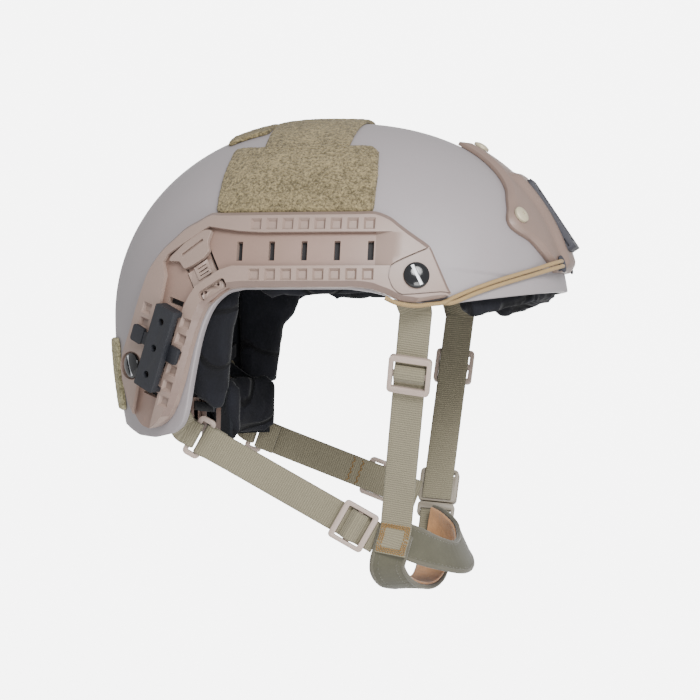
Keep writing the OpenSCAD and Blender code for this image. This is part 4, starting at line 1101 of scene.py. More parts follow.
class Ribbon:
    """A flat band along a line, in millimetres."""

    def __init__(self, points: np.ndarray, wides: np.ndarray, step: float = 0.36, bend: float = 5.0) -> None:
        """Lays the band's middle line and its directions.

        Args:
            points: The points of its middle line.
            wides: Its direction of width at each.
            step: Distance between its rows of vertices.
            bend: Longest stretch that is smoothed as one.
        """
        line = curve(stepped(np.column_stack([points, wides]), bend, lambda d: np.linalg.norm(d[:3])), 4)
        self.length = float(np.linalg.norm(np.diff(line[:, :3], axis=0), axis=1).sum())
        self.count = max(4, round(self.length / step))
        self.line, share = even(line[:, :3], self.count + 1)
        wide = np.stack([np.interp(share, np.arange(len(line)), line[:, 3 + k]) for k in range(3)], -1)
        ahead = unit(np.gradient(self.line, axis=0))
        self.wide = unit(wide - ahead * np.sum(wide * ahead, 1, keepdims=True))
        self.out = np.cross(self.wide, ahead)

    def at(self, s: np.ndarray, u: np.ndarray, h: np.ndarray) -> np.ndarray:
        """Points at lengths along it, places across it and heights above its middle.

        Args:
            s: Lengths along it.
            u: Places across it.
            h: Heights above its middle.

        Returns:
            Rows of x, y and z.
        """
        i = np.clip(np.asarray(s, float) / self.length, 0, 1) * self.count
        rows = np.arange(self.count + 1)
        line, wide, out = (np.stack([np.interp(i, rows, r[:, k]) for k in range(3)], -1)
                           for r in (self.line, self.wide, self.out))
        return line + np.reshape(u, (-1, 1)) * wide + np.reshape(h, (-1, 1)) * out

    def beside(self, s: np.ndarray, u: float, h: float, step: float) -> "Ribbon":
        """A line that follows a stretch of this one.

        Args:
            s: Lengths along this one.
            u: Its place across.
            h: Its height above the middle.
            step: Distance between its rows of vertices.

        Returns:
            The new line, with the same directions of width.
        """
        wides = self.wide[np.rint(s / self.length * self.count).astype(int)]
        return Ribbon(self.at(s, 0 * s + u, 0 * s + h), wides, step, 200)

    def band(self, width: float, thick: float, rib: float = 0.1, height: float = 0.0, across: int = 6) -> Stock:
        """A closed band round the line.

        Args:
            width: Its width.
            thick: Its thickness.
            rib: Height of its ribs.
            height: Height of its middle above the line.
            across: Quads over each face.

        Returns:
            The closed band, with metres in its UV map.
        """
        half, r = width / 2, thick / 2
        flat = np.linspace(-half + r, half - r, across + 1)
        turn = np.radians([60, 20, -20, -60])
        ring = ([(x, r) for x in flat] + [(half - r + r * math.cos(a), r * math.sin(a)) for a in turn]
                + [(x, -r) for x in flat[::-1]] + [(-half + r - r * math.cos(a), r * math.sin(a)) for a in -turn])
        ring = np.array(ring + ring[:1])

        def place(uv: np.ndarray) -> np.ndarray:
            """Wraps the net round the line.

            Args:
                uv: Rows of u and v.

            Returns:
                Rows of x, y and z.
            """
            k = uv[:, 0] * (len(ring) - 1)
            x, h = (np.interp(k, np.arange(len(ring)), ring[:, c]) for c in (0, 1))
            s = uv[:, 1] * self.length
            relief = rib * (0.5 + 0.5 * np.cos(2 * math.pi * s / RIB_PITCH))
            return self.at(s, x, h * (1 - relief / r) + height)

        return Stock.grid(len(ring) - 1, self.count, place, wrap=True).ended(2 * (width + thick), self.length)

    def stitches(self, route: Sequence[Flat], height: float, pitch: float, size: Point, into: Stock) -> None:
        """Sews a row of stitches on the band.

        Args:
            route: Corners of the row, as length along and place across.
            height: Height above the band's middle.
            pitch: Distance between two stitches.
            size: Length, width and height of a stitch.
            into: The mesh that takes them.
        """
        for a, b in zip(route, route[1:]):
            long = math.dist(a, b)
            count = max(1, round(long / pitch))
            share = (np.arange(count) + 0.5) / count
            for t in share:
                at = mix(a, b, t)
                near = [mix(a, b, t + d / long) for d in (-0.4, 0.4)]
                p, q, r = self.at([at[0], near[0][0], near[1][0]], [at[1], near[0][1], near[1][1]],
                                  [height] * 3)
                x = unit(r - q)
                n = unit(self.at([at[0]], [at[1]], [height + 1])[0] - p)
                y = np.cross(n, x)
                cols = [Vector(v * k / 2).to_4d() for v, k in zip((x, y, n), size)]
                matrix = Matrix([(*c[:3], 0) for c in cols] + [(*p, 1)]).transposed()
                bmesh.ops.create_icosphere(into.bm, subdivisions=1, radius=1, matrix=matrix)


def tube(points: np.ndarray, radius: float) -> Stock:
    """A round cord along a smooth line.

    Args:
        points: The points it passes.
        radius: Its radius.

    Returns:
        The closed cord, with metres in its UV map.
    """
    sides, step = 14, 1.2
    line = curve(points, 6)
    length = np.linalg.norm(np.diff(line, axis=0), axis=1).sum()
    count = max(3, round(length / step))
    line, _ = even(line, count + 1)
    ahead = unit(np.gradient(line, axis=0))
    side = [unit(np.cross(ahead[0], [0.3, 0.2, 1.0]))]
    for a in ahead[1:]:
        side.append(unit(side[-1] - a * side[-1].dot(a)))
    side = np.array(side)
    up = np.cross(ahead, side)

    def place(uv: np.ndarray) -> np.ndarray:
        """Wraps the net round the line.

        Args:
            uv: Rows of u and v.

        Returns:
            Rows of x, y and z.
        """
        i = np.rint(uv[:, 1] * count).astype(int)
        a = uv[:, :1] * 2 * math.pi
        return line[i] + radius * (np.cos(a) * side[i] + np.sin(a) * up[i])

    return Stock.grid(sides, count, place, wrap=True).ended(2 * math.pi * radius, length)


def rounded(node: str, finish: Finish, body: str = HELMET, width: float = 0.4) -> bpy.types.Object:
    """A copy of a CAD node with rounded edges, in its place.

    Args:
        node: The node.
        finish: Its finish.
        body: The body that it rides on.
        width: Width of the rounding.

    Returns:
        The piece.
    """
    return piece(node, Stock.of_node(node).bevel(width).mesh(), [finish], body, 40)


@dataclass
class Shell:
    """The moulded shell."""

    wall: float = 5.0
    columns: int = 400
    rows: int = 72
    edge: float = 1.1
    inside: float = 0.945
    samples: int = 3601
    soften: int = 24
    rim_range: Flat = (-95.0, 22.0)
    rim: tuple[Flat, ...] = ((-180, -80), (-125, -82), (-112, -86.5), (-98, -87), (-85, -84), (-78, -79),
                             (-74, -70), (-71, -55), (-64, -26), (-59, -14), (-54, -6.5), (-47, -1), (-38, 1),
                             (25, 1), (39, -1), (54, -5.5), (75, -8.5), (108, -4), (139, 0), (180, 1))

    def rim_line(self) -> np.ndarray:
        """The rim as rows of bearing and height, evenly spaced round the helmet.

        Returns:
            The rows, whose last one closes the rim.
        """
        knots = np.array(self.rim)
        bearing = np.linspace(0, 180, self.samples)
        low, high = (np.full_like(bearing, z) for z in self.rim_range)
        for _ in range(30):
            mid = (low + high) / 2
            x = SKIN.bearing(np.column_stack([bearing, mid, 0 * mid]))[:, 0]
            over = mid > np.interp(x, knots[:, 0], knots[:, 1])
            low, high = np.where(over, low, mid), np.where(over, mid, high)
        span = 2 * self.soften + 1
        soft = np.convolve(np.pad(low, self.soften, mode="edge"), np.ones(span) / span, "valid")
        p = SKIN.bearing(np.column_stack([bearing, soft, 0 * soft]))
        _, share = even(p, self.columns // 2 + 1)
        half = np.column_stack([np.interp(share, np.arange(self.samples), c) for c in (bearing, soft)])
        other = half[-2:0:-1] * [-1, 1] + [360, 0]
        return np.concatenate([half, other, [[360, half[0, 1]]]])

    def mesh(self) -> bpy.types.Mesh:
        """The outer surface, given its wall and rounded rim.

        Returns:
            The mesh, with its inner faces marked for the second finish.
        """
        rim = self.rim_line()
        tall = SKIN.crown - SKIN.widest_z
        start = (rim[:, 1] - SKIN.widest_z) / tall
        angle = np.where(start > 0, np.arcsin(np.clip(start, -1, 1)), start)

        def place(uv: np.ndarray) -> np.ndarray:
            """Rows climb from the rim to the pole in even turns.

            Args:
                uv: Rows of u and v.

            Returns:
                Rows of x, y and z.
            """
            i = np.rint(uv[:, 0] * (len(rim) - 1)).astype(int)
            a = angle[i] + (math.pi / 2 - angle[i]) * uv[:, 1]
            z = SKIN.widest_z + tall * np.where(a > 0, np.sin(a), a)
            return SKIN.bearing(np.column_stack([rim[i, 0], z, 0 * z]))

        work = Stock.grid(len(rim) - 1, self.rows, place, wrap=True)
        top = max(v.co.z for v in work.bm.verts)
        bmesh.ops.pointmerge(work.bm, verts=[v for v in work.bm.verts if v.co.z > top - 0.01],
                             merge_co=(SKIN.centre_x, 0, SKIN.crown))
        bmesh.ops.dissolve_degenerate(work.bm, dist=1e-4, edges=work.bm.edges[:])
        data = work.outside().mesh()
        data = applied(data, ("SOLIDIFY", {"thickness": self.wall, "offset": -1, "use_even_offset": False}),
                       ("BEVEL", {"width": self.edge, "segments": 3, "limit_method": "ANGLE",
                                  "angle_limit": math.radians(50)}))
        inner = SKIN.level(np.array([f.center for f in data.polygons])) < self.inside
        data.polygons.foreach_set("material_index", inner.astype(np.int32))
        return data

    def build(self) -> None:
        """Makes and dresses the shell."""
        piece("shell", self.mesh(), [SHELL, INSIDE_BLACK_AND_SHADE])


@dataclass
class SideRail:
    """A side rail with its corner gate.

    A row of lines crosses the rail from its outer to its inner edge, as x, z, x, z. A row of channel crosses the
    channel in the same way. A pocket is given by its width, depth and draft. The gate's outlines are given in its
    own frame, at gate_place.
    """

    side: Side
    height: float = 8.0
    floor: float = 4.3
    bevel: float = 3.0
    seat: float = 0.7
    undercut: float = 1.4
    undercut_height: float = 2.2
    recess: float = 1.2
    head: float = 16.4
    lines: tuple[tuple[float, ...], ...] = (
        (79.8, -2.4, 76, -4.6), (74.2, 10.5, 61, -7.2), (69, 22, 54, -6.5), (66.7, 24.8, 51, -5.5),
        (56, 32.3, 45, -2.6), (46, 39.8, 37, 0.3), (38, 42.9, 29, 1.3), (-38, 42.9, -36, 1.3), (-57, 42.9, -44, 0.5),
        (-72.5, 35, -49, -2.5), (-86.5, 23.5, -54, -6.5), (-92.5, 16.5, -57.5, -9.5), (-96.2, 11, -60, -14),
        (-100, 2, -62, -18), (-105, -11, -65, -26), (-109.5, -23, -68, -35), (-114, -33, -70.3, -43),
        (-117, -42, -72.5, -50.5), (-116, -52, -75, -57.5), (-112.5, -63.5, -78.5, -66), (-108, -73, -82.5, -72.5),
        (-103.5, -78.5, -87, -76.8), (-98, -80.4, -92, -79.6))
    channel: tuple[tuple[float, ...], ...] = (
        (39, 30.7, 39, 12.4), (-25, 30.7, -25, 12.4), (-38, 31.5, -41, 12.6), (-56.5, 34.2, -49, 10.2),
        (-80.5, 19.5, -62.5, 1.5), (-84, 15, -66.5, -4), (-82, 7, -69.5, -9.5), (-84.5, -7, -71.8, -15),
        (-93, -31, -79.5, -38), (-101.5, -55, -87.5, -61.5), (-105, -66, -91.5, -72.5), (-110, -83, -97, -90))
    ramp: float = 6.5
    ramp_end: float = 41.5
    ramp_lead: float = 2.6
    slot_floor: float = 0.76
    lobe: tuple[Flat, ...] = ((-14.9, -0.8), (-14.1, 3.9), (-10.3, 7.4), (5, 14.4), (16, 19.4), (24, 2), (20, -9),
                              (12.8, -9), (-4, -10.3), (-8.7, -9.8), (-12.6, -6.3))
    leg: tuple[Flat, Flat] = ((-76.7, -6.8), (-95.3, -59.3))
    leg_pockets: tuple[Flat, Flat] = ((-68.4, -19), (-83.5, -63.6))
    corner_pockets: tuple[Flat, Flat] = ((-93.6, -10.3), (-96, -18.6))
    pocket_rows: tuple[Flat, Flat] = ((-28.7, 35.2), (-28.4, 7.8))
    pocket_pitch: float = 9.1
    pocket: tuple[float, float, float] = (6.6, 2.0, 1.3)
    slots: Flat = (-38.3, 21.4)
    slot_pitch: float = 18.7
    gate_place: Flat = (-66, 14)
    gate_turn: float = 31.0
    gate_head: tuple[Flat, ...] = ((-12.2, 9.2), (-10.2, 11.1), (1.5, 13.3), (11.9, 13.8), (16, 12.8), (18.8, 10.6),
                                   (14, 6), (13, 0.5), (8.5, -1.2), (4, -1.4), (-0.5, -1.2), (-5, -0.4),
                                   (-6.1, 5.2))
    gate_stem: float = 1.7
    gate_sink: float = 1.5

    @property
    def leg_turn(self) -> float:
        """Turn of the rear leg in degrees."""
        (x0, z0), (x1, z1) = self.leg
        return math.degrees(math.atan2(x1 - x0, z0 - z1))

    def gate_flat(self, outline: Sequence[Flat]) -> list[Flat]:
        """An outline of the gate, as x and z on the shell.

        Args:
            outline: Its corners in the gate's own frame.

        Returns:
            The corners on the shell.
        """
        stand = SKIN.stand(self.gate_place, self.gate_turn)
        points = [stand @ Vector((u, v, 0)) for u, v in outline]
        return [(p.x, p.z) for p in points]

    def gate_block(self, outline: Sequence[Flat], low: float, high: float, corner: float = 0.0) -> Stock:
        """A block of the gate between two heights, its corners rounded where asked."""
        return Stock.prism(self.gate_flat(round_corners(outline, corner) if corner else outline), low, high)

    def body(self) -> Stock:
        """The rail laid flat, its upper edges sloped.

        Returns:
            The closed rail without its cuts.
        """
        lines = curve(stepped(self.lines, 9, largest), 3)
        wide = np.hypot(lines[:, 0] - lines[:, 2], lines[:, 1] - lines[:, 3])
        slope = np.minimum(self.bevel, wide / 2.4)

        def place(uv: np.ndarray) -> np.ndarray:
            """Rows follow the crossing lines, columns the outer edge, the flat and the inner edge.

            Args:
                uv: Rows of u and v.

            Returns:
                Rows of x and z of the side and a height.
            """
            i = np.rint(uv[:, 1] * (len(lines) - 1)).astype(int)
            k = np.rint(uv[:, 0] * 3).astype(int)
            b = (slope / wide)[i]
            t = np.choose(k, [0 * b, b, 1 - b, 0 * b + 1])
            p = lines[i, :2] + (lines[i, 2:] - lines[i, :2]) * t[:, None]
            return np.column_stack([p, self.height - np.where((k == 0) | (k == 3), slope[i], 0)])

        return Stock.grid(3, len(lines) - 1, place).slab(self.seat).outside()

    def ridge(self, low: float, high: float, extra: float = 0.0) -> Stock:
        """A block that follows the channel.

        Args:
            low: Height of its lower face.
            high: Height of its upper face.
            extra: How much wider it is on each side.

        Returns:
            The closed block.
        """
        lines = stepped(self.channel, 8, largest)
        across = unit(lines[:, :2] - lines[:, 2:]) * extra
        upper, lower = lines[:, :2] + across, lines[:, 2:] - across
        return Stock.prism([tuple(p) for p in (*upper, *lower[::-1])], low, high)

    def front_ramp(self) -> Stock:
        """The block of the channel's front end, which slopes up from the floor.

        Returns:
            The closed block.
        """
        _, top, _, bottom = self.channel[0]
        x = self.ramp_end
        rise = (self.ramp + self.ramp_lead) / (self.height - self.floor)
        out = Stock.prism(oblong(x - 3, bottom, x, top), self.floor, self.height + 2)
        for v in out.bm.verts:
            if v.co.x > x - 1:
                v.co.x += (v.co.z - self.floor) * rise - self.ramp_lead
        return out

    def cuts(self) -> tuple[list[Stock], ...]:
        """The blocks that are cut out of the rail, in sets that don't touch.

        Returns:
            The sets, in the order in which they are cut.
        """
        up = self.height + 3
        top = self.height - self.recess
        turn = self.leg_turn
        depth = (self.slot_floor, self.floor + 1, 0)
        bar = [Stock.pocket((self.slots[0] + self.slot_pitch * i, self.slots[1]), 0, (3.4, 10.7), *depth)
               for i in range(5)]
        bar += [Stock.pocket(tuple(mix(*self.leg, i / 3)), turn, (10, 3.4), *depth) for i in range(4)]
        spots = [((x + self.pocket_pitch * i, z), 0) for x, z in self.pocket_rows for i in range(8)]
        spots += [(tuple(mix(*self.leg_pockets, i / 5)), turn) for i in range(6)]
        spots += [(p, turn) for p in self.corner_pockets]
        wide, deep, draft = self.pocket
        pits = [Stock.pocket(p, t, (wide, wide), self.height - deep, self.height + 0.3, draft) for p, t in spots]
        outline = curve([*self.lobe, self.lobe[0]], 4) + FRONT_BOLT
        lobe = Stock.prism([tuple(p) for p in outline[:-1]], top, up)
        head = Stock.disc(REAR_BOLT, self.head / 2, top - 0.6, up, 40)
        trench = []
        for arc in (outline[:24], np.array([*outline[22:], outline[1]])):
            ahead = unit(np.gradient(arc, axis=0))
            off = 0.35 * np.column_stack([-ahead[:, 1], ahead[:, 0]])
            trench.append([Stock.prism([tuple(p) for p in (*(arc + off), *(arc - off)[::-1])], top - 0.9, up)])
        bed = self.floor - self.gate_sink
        roof = bed + self.gate_stem + 0.8
        slot = self.gate_block(oblong(-5.5, -18.1, 12.9, 1.6), bed, roof)
        room = self.gate_block(oblong(-2.8, -25.6, 15, -17.6), bed, roof)
        window = self.gate_block(oblong(-2.8, -23.6, 15, -17.6), bed, up, 2.7)
        gaps = [self.gate_block(oblong(u, -17.6, u + w, 2.5), self.slot_floor, roof)
                for u, w in ((-5.7, 0.8), (11.2, 2.0))]
        ridges = [[self.ridge(self.floor, up)],
                  [self.ridge(self.floor, self.floor + self.undercut_height, self.undercut)]]
        return *ridges, [self.front_ramp()], [lobe], *trench, [head, *pits], bar, [slot], [room], [window], gaps

    def finish_of(self, face: bmesh.types.BMFace) -> int:
        """The finish of a face of the flat rail.

        Args:
            face: The face.

        Returns:
            1 for a sloped edge, 2 for the floor of a slot, which is painted near black as the shade in the slot, 3
            for that of the channel and 0 for the rest.
        """
        rise, z = face.normal.z, face.calc_center_median().z
        if 0.6 < rise < 0.8 and z > 4:
            return 1
        # Slot floors take the near black of painted shade.
        if rise > 0.9 and self.slot_floor - 0.02 < z < self.slot_floor + 0.04:
            return 2
        return 3 if rise > 0.9 and 0.8 < z < self.floor + 0.1 else 0

    def build_rail(self) -> None:
        """Makes and dresses the rail."""
        work = carved(self.body(), *self.cuts())
        bmesh.ops.remove_doubles(work.bm, verts=work.bm.verts[:], dist=0.03)
        bmesh.ops.dissolve_degenerate(work.bm, dist=0.01, edges=work.bm.edges[:])
        work.plain()
        for f in work.bm.faces:
            f.material_index = self.finish_of(f)
        data = wrapped(work.bevel(0.35), self.side)
        piece(f"rail_{self.side.word}", data, [RAIL, RAIL_EDGE, SLOT_SHADE, FLOOR], smooth=None)

    def build_gate(self) -> None:
        """Makes and dresses the gate that slides in the rail's corner."""
        low = self.floor - self.gate_sink + 0.4
        top = low + self.gate_stem
        head = self.gate_block(self.gate_head, self.floor + 0.4, self.height - 0.4, 1.0)
        slot = self.gate_block([(-3.2, 6.9), (11.8, 7.9), (11.7, 9.4), (-3.3, 8.4)], self.height - 2, 12)
        head = carved(head, [slot]).bevel(0.35)
        stem = self.gate_block(oblong(-5, -17.9, 11.4, -3), low, top)
        end = self.gate_block(oblong(-2.3, -23.1, 13.1, -17.7), low + 0.01, top + 0.01, 2.2)
        block = self.gate_block(oblong(0, -10.8, 9.4, -2.4), low + 0.3, top + 0.7)

        def grooves() -> list[Stock]:
            """The three grooves of the block below the head."""
            return [self.gate_block(oblong(1.8, y, 7.8, y + 0.6), self.floor - 0.3, 9) for y in (-4.8, -7.0, -9.2)]

        dots = [Stock.disc(self.gate_flat([(x, -18.9)])[0], 1.0, 0, 9, 16) for x in (0.6, 9.6)]
        stem = carved(stem, grooves()).add(carved(block, grooves())).add(carved(end, dots))
        data = wrapped(head.add(stem.bevel(0.2, 1)), self.side)
        piece(f"corner_gate_{self.side.word}", data, [RAIL], f"gate_{self.side.word}", None)

    def build(self) -> None:
        """Makes the rail and its gate."""
        self.build_rail()
        self.build_gate()


def oblong(x0: float, y0: float, x1: float, y1: float) -> list[Flat]:
    """The corners of a rectangle between two of them."""
    return [(x0, y0), (x1, y0), (x1, y1), (x0, y1)]


def round_corners(outline: Sequence[Flat], radius: float) -> list[Flat]:
    """An outline with rounded corners.

    Args:
        outline: Its corners.
        radius: Radius of the rounding, or less on short sides.

    Returns:
        The rounded outline.
    """
    p = np.asarray(outline, float)
    out = []
    for a, b, c in zip(np.roll(p, 1, 0), p, np.roll(p, -1, 0)):
        cut = min(radius, np.linalg.norm(a - b) * 0.45, np.linalg.norm(c - b) * 0.45)
        start, end = b + unit(a - b) * cut, b + unit(c - b) * cut
        for t in np.linspace(0, 1, 5):
            out.append(tuple((1 - t) ** 2 * start + 2 * t * (1 - t) * b + t * t * end))
    return out


def cornered(flat: np.ndarray, size: Flat, radius: float) -> tuple[np.ndarray, np.ndarray]:
    """Draws a rectangle's places in, so that its corners are round.

    Args:
        flat: Places from the rectangle's middle.
        size: Its two sizes.
        radius: Radius of its corners.

    Returns:
        The places, and how far each lies beyond the inner rectangle that the corners turn round.
    """
    half = np.array(size) / 2
    core = np.clip(flat, -half + radius, half - radius)
    over = flat - core
    far = np.linalg.norm(over, axis=1)
    scale = np.where(far > 1e-6, np.abs(over).max(axis=1) / np.maximum(far, 1e-6), 1)
    out = core + over * scale[:, None]
    return out, np.linalg.norm(out - core, axis=1)


@dataclass
class Patch:
    """A cut piece of loop fabric on the shell."""

    node: str
    size: Flat
    place: Place
    corner: float = 4.0
    step: float = 0.9
    thick: float = 2.4
    seed: float = 0.0
    finish: Finish = PILE

    def mesh(self) -> bpy.types.Mesh:
        """A closed sheet with a fuzzy upper side and soft edges.

        Returns:
            The closed sheet, laid on the shell.
        """
        wide, tall = self.size
        out = Stock.grid(round(wide / self.step), round(tall / self.step), lambda uv: np.column_stack(
            [(uv - 0.5) * self.size, np.ones(len(uv))])).slab(0).outside()

        def shape(p: np.ndarray) -> np.ndarray:
            """Rounds the corners, then roughens the edge and the upper side.

            Args:
                p: Rows of places across the sheet, and 1 for its upper side.

            Returns:
                Rows of x, y and z.
            """
            flat, beyond = cornered(p[:, :2], self.size, self.corner)
            inner = np.minimum(wide / 2 - np.abs(p[:, 0]), tall / 2 - np.abs(p[:, 1]))
            gap = np.where(beyond > 1e-6, self.corner - beyond, inner)
            fuzz = np.array([noise.noise(Vector((x * 0.9 + self.seed, y * 0.9, h * 3))) for x, y, h in p])
            tuft = np.array([noise.noise(Vector((x * 0.28 + self.seed, y * 0.28, 7.0))) for x, y, _ in p])
            edge = np.clip(gap / 1.6, 0, 1)
            flat += flat / np.maximum(np.linalg.norm(flat, axis=1), 1)[:, None] * (fuzz * (1 - edge) * 0.5)[:, None]
            rise = self.thick * (0.45 + 0.55 * np.sqrt(1 - (1 - edge) ** 2)) + fuzz * 0.34 + tuft * 0.22
            h = np.where(p[:, 2] > 0.5, np.clip(rise, 0.5, self.thick + 0.5), 0)
            return self.place(np.column_stack([flat[:, 0] / wide + 0.5, flat[:, 1] / tall + 0.5, h + 0.3]))

        return out.move(shape).outside().mesh()

    def build(self) -> None:
        """Makes and dresses the patch."""
        piece(self.node, self.mesh(), [self.finish], smooth=80)


def between(chart: Place, start: Flat, end: Flat) -> Place:
    """A rectangle of one of the shell's charts, whose points are given as two shares and a height."""
    return lambda p: chart(np.column_stack([mix(start, end, p[:, :2]), p[:, 2]]))


@dataclass
class Patches:
    """The five loop patches.

    A side patch lies between two heights. The crown patch lies between two places along x, of which the front one
    runs forward in the middle. The others lie between two corners of their charts.
    """

    low: float = 44.1
    high: float = 84.6
    side_back: tuple[Flat, ...] = ((47, -56.5), (66, -56), (85, -53))
    side_front: tuple[Flat, ...] = ((47, 36.7), (66, 36.7), (80, 35), (85, 31))
    crown_ends: Flat = (-34, 16)
    crown_bulge: float = 4
    crown_drop: float = 2.6
    back_corners: tuple[Flat, Flat] = ((-62, 46), (-36.5, -46))
    nape_corners: tuple[Flat, Flat] = ((206.5, -72), (153.5, -28))

    def side_place(self, side: Side) -> Place:
        """Where the side patch lies.

        Args:
            side: The side of the helmet.

        Returns:
            Gives a point for each share along and up.
        """

        def place(p: np.ndarray) -> np.ndarray:
            """Its slanted ends are given at heights.

            Args:
                p: Rows of a share along, a share up and a height.

            Returns:
                Rows of x, y and z.
            """
            z = self.low + (self.high - self.low) * p[:, 1]
            left, right = (np.interp(z, *zip(*edge)) for edge in (self.side_back, self.side_front))
            return side.of(SKIN.flank(np.column_stack([left + (right - left) * p[:, 0], z, p[:, 2]])))

        return place

    def crown_place(self, p: np.ndarray) -> np.ndarray:
        """Where the patch over the crown lies.

        Args:
            p: Rows of a share along, a share across and a height.

        Returns:
            Rows of x, y and z.
        """
        s = 2 * p[:, 1] - 1
        left, right = self.crown_ends
        x = left + (right + self.crown_bulge * (1 - np.abs(s)) - left) * p[:, 0]
        edge = SKIN.flank(np.column_stack([x, np.full_like(x, self.high - self.crown_drop), 0 * x]))[:, 1]
        return SKIN.crown_cap(np.column_stack([x, edge * np.sin(s * math.pi / 2), p[:, 2]]))

    def build(self) -> None:
        """Makes the patches."""
        for side in Side:
            Patch(f"side_patch_{side.word}", (93, 41), self.side_place(side), seed=3 * side.value).build()
        Patch("crown_patch", (52, 122), self.crown_place, 2.5, seed=11).build()
        Patch("back_crown_patch", (26, 94), between(SKIN.crown_cap, *self.back_corners), 4, seed=17).build()
        # The nape patch takes the lighter pile of painted light.
        Patch("nape_patch", (106, 44), between(SKIN.bearing, *self.nape_corners), 5, seed=23,
              finish=NAPE_PILE_LIT).build()


@dataclass
class FrontShroud:
    """The shroud on the forehead, with its insert, screws and eyelets."""

    edge: tuple[Flat, ...] = ((11, 36), (17, 42), (23, 48), (29.5, 54), (33, 60), (37, 63.5), (42, 62), (48, 56),
                              (54, 50), (60, 42), (68, 33), (77, 24), (83, 17.5), (88, 12), (90, 9))
    thick: float = 5.0
    lip: float = 2.6
    seat_z: float = 43.6
    seat_height: float = 8.8
    lean: float = 3.3
    insert: Point = (50, 40, 7.5)
    side_screw: Flat = (55, 42)
    top_screw: Flat = (0, 84.5)
    slope: float = 3.2
    near: float = 2.2
    fade: float = 7.0

    def insert_frame(self) -> Matrix:
        """The frame of the insert, its z out of the face and its x down.

        Returns:
            A matrix in millimetres.
        """
        p = one(SKIN.forehead, 0, self.seat_z, self.seat_height)
        n = SKIN.outward(one(SKIN.forehead, 0, self.seat_z, 0)[None])[0]
        tilt = math.asin(n[2]) + math.radians(self.lean)
        return Matrix.Translation(Vector(p)) @ Matrix.Rotation(math.pi / 2 - tilt, 4, "Y")

    def stand(self, flat: Flat, height: float) -> Matrix:
        """The frame of a shape that stands on the forehead.

        Args:
            flat: The place's y and z.
            height: Its height above the shell.

        Returns:
            A matrix in millimetres, its z straight out.
        """
        p = one(SKIN.forehead, *flat, 0)
        n = SKIN.outward(p[None])[0]
        return Matrix.Translation(Vector(p + n * height)) @ Vector(n).to_track_quat("Z", "Y").to_matrix().to_4x4()

    def mesh(self) -> bpy.types.Mesh:
        """The frame, raised round the insert and cut for what it holds.

        Returns:
            The closed frame, its edges rounded.
        """
        count = 43
        rows, _ = even(curve(self.edge, 4), count + 1)
        face = self.insert_frame()
        back = face.inverted()
        inner = np.array(self.insert[:2]) / 2 + 0.3

        def flat_of(uv: np.ndarray) -> np.ndarray:
            """Places across the frame, closer together towards its edges.

            Args:
                uv: Rows of u and v.

            Returns:
                Rows of y and z of the front and 1.
            """
            i = np.rint(uv[:, 1] * count).astype(int)
            s = np.sin((uv[:, 0] * 2 - 1) * math.pi / 2) * 0.35 + (uv[:, 0] * 2 - 1) * 0.65
            return np.column_stack([s * rows[i, 1], rows[i, 0], np.full(len(i), 1.0)])

        out = Stock.grid(56, count, flat_of).slab(0).outside()

        def shape(p: np.ndarray) -> np.ndarray:
            """Gives the face its slope at the edge and its rise beside the insert.

            Args:
                p: Rows of y and z of the front, and 1 for the upper side.

            Returns:
                Rows of x, y and z.
            """
            half = np.interp(p[:, 1], rows[:, 0], rows[:, 1])
            gap = np.minimum(half - np.abs(p[:, 0]), np.minimum(p[:, 1] - rows[0, 0], rows[-1, 0] - p[:, 1]))
            rise = self.lip + (self.thick - self.lip) * np.clip(gap / self.slope, 0, 1)
            on = SKIN.forehead(np.column_stack([p[:, :2], 0 * half]))
            local = (np.c_[on, np.ones(len(on))] @ np.array(back).T)[:, :3]
            beyond = np.maximum(np.abs(local[:, 0]) - inner[0], np.abs(local[:, 1]) - inner[1])
            near = np.clip(1 - (beyond - self.near) / self.fade, 0, 1)
            near = near * near * (3 - 2 * near)
            target = np.maximum(rise, np.minimum(-local[:, 2] - 0.8, self.thick + 3.4))
            rise = rise + (target - rise) * near
            return SKIN.forehead(np.column_stack([p[:, :2], np.where(p[:, 2] > 0.5, rise, 0.3)]))

        out.move(shape).outside()
        hole = Stock.prism(round_corners(oblong(*-inner, *inner), 4.3), -15.5, 8).turn(face)
        screws = [Stock.disc((0, 0), 5.5, self.thick - 0.1, 12).turn(self.stand(p, 0)) for p in
                  ((-self.side_screw[0], self.side_screw[1]), self.side_screw, self.top_screw)]
        return applied(cut(out.mesh(), [hole], screws),
                       ("BEVEL", {"width": 0.45, "segments": 2, "limit_method": "ANGLE",
                                  "angle_limit": math.radians(40)}))

    def build(self) -> None:
        """Makes the shroud and dresses what it holds."""
        piece("shroud_frame", self.mesh(), [SHROUD], smooth=38)
        rounded("shroud_insert", INSERT, width=0.6)
        rounded("shroud_screws", SCREW, width=0.25)
        rounded("shroud_nuts", NUT, width=0.3)
        rounded("cord_eyelets", INSERT, width=0.45)


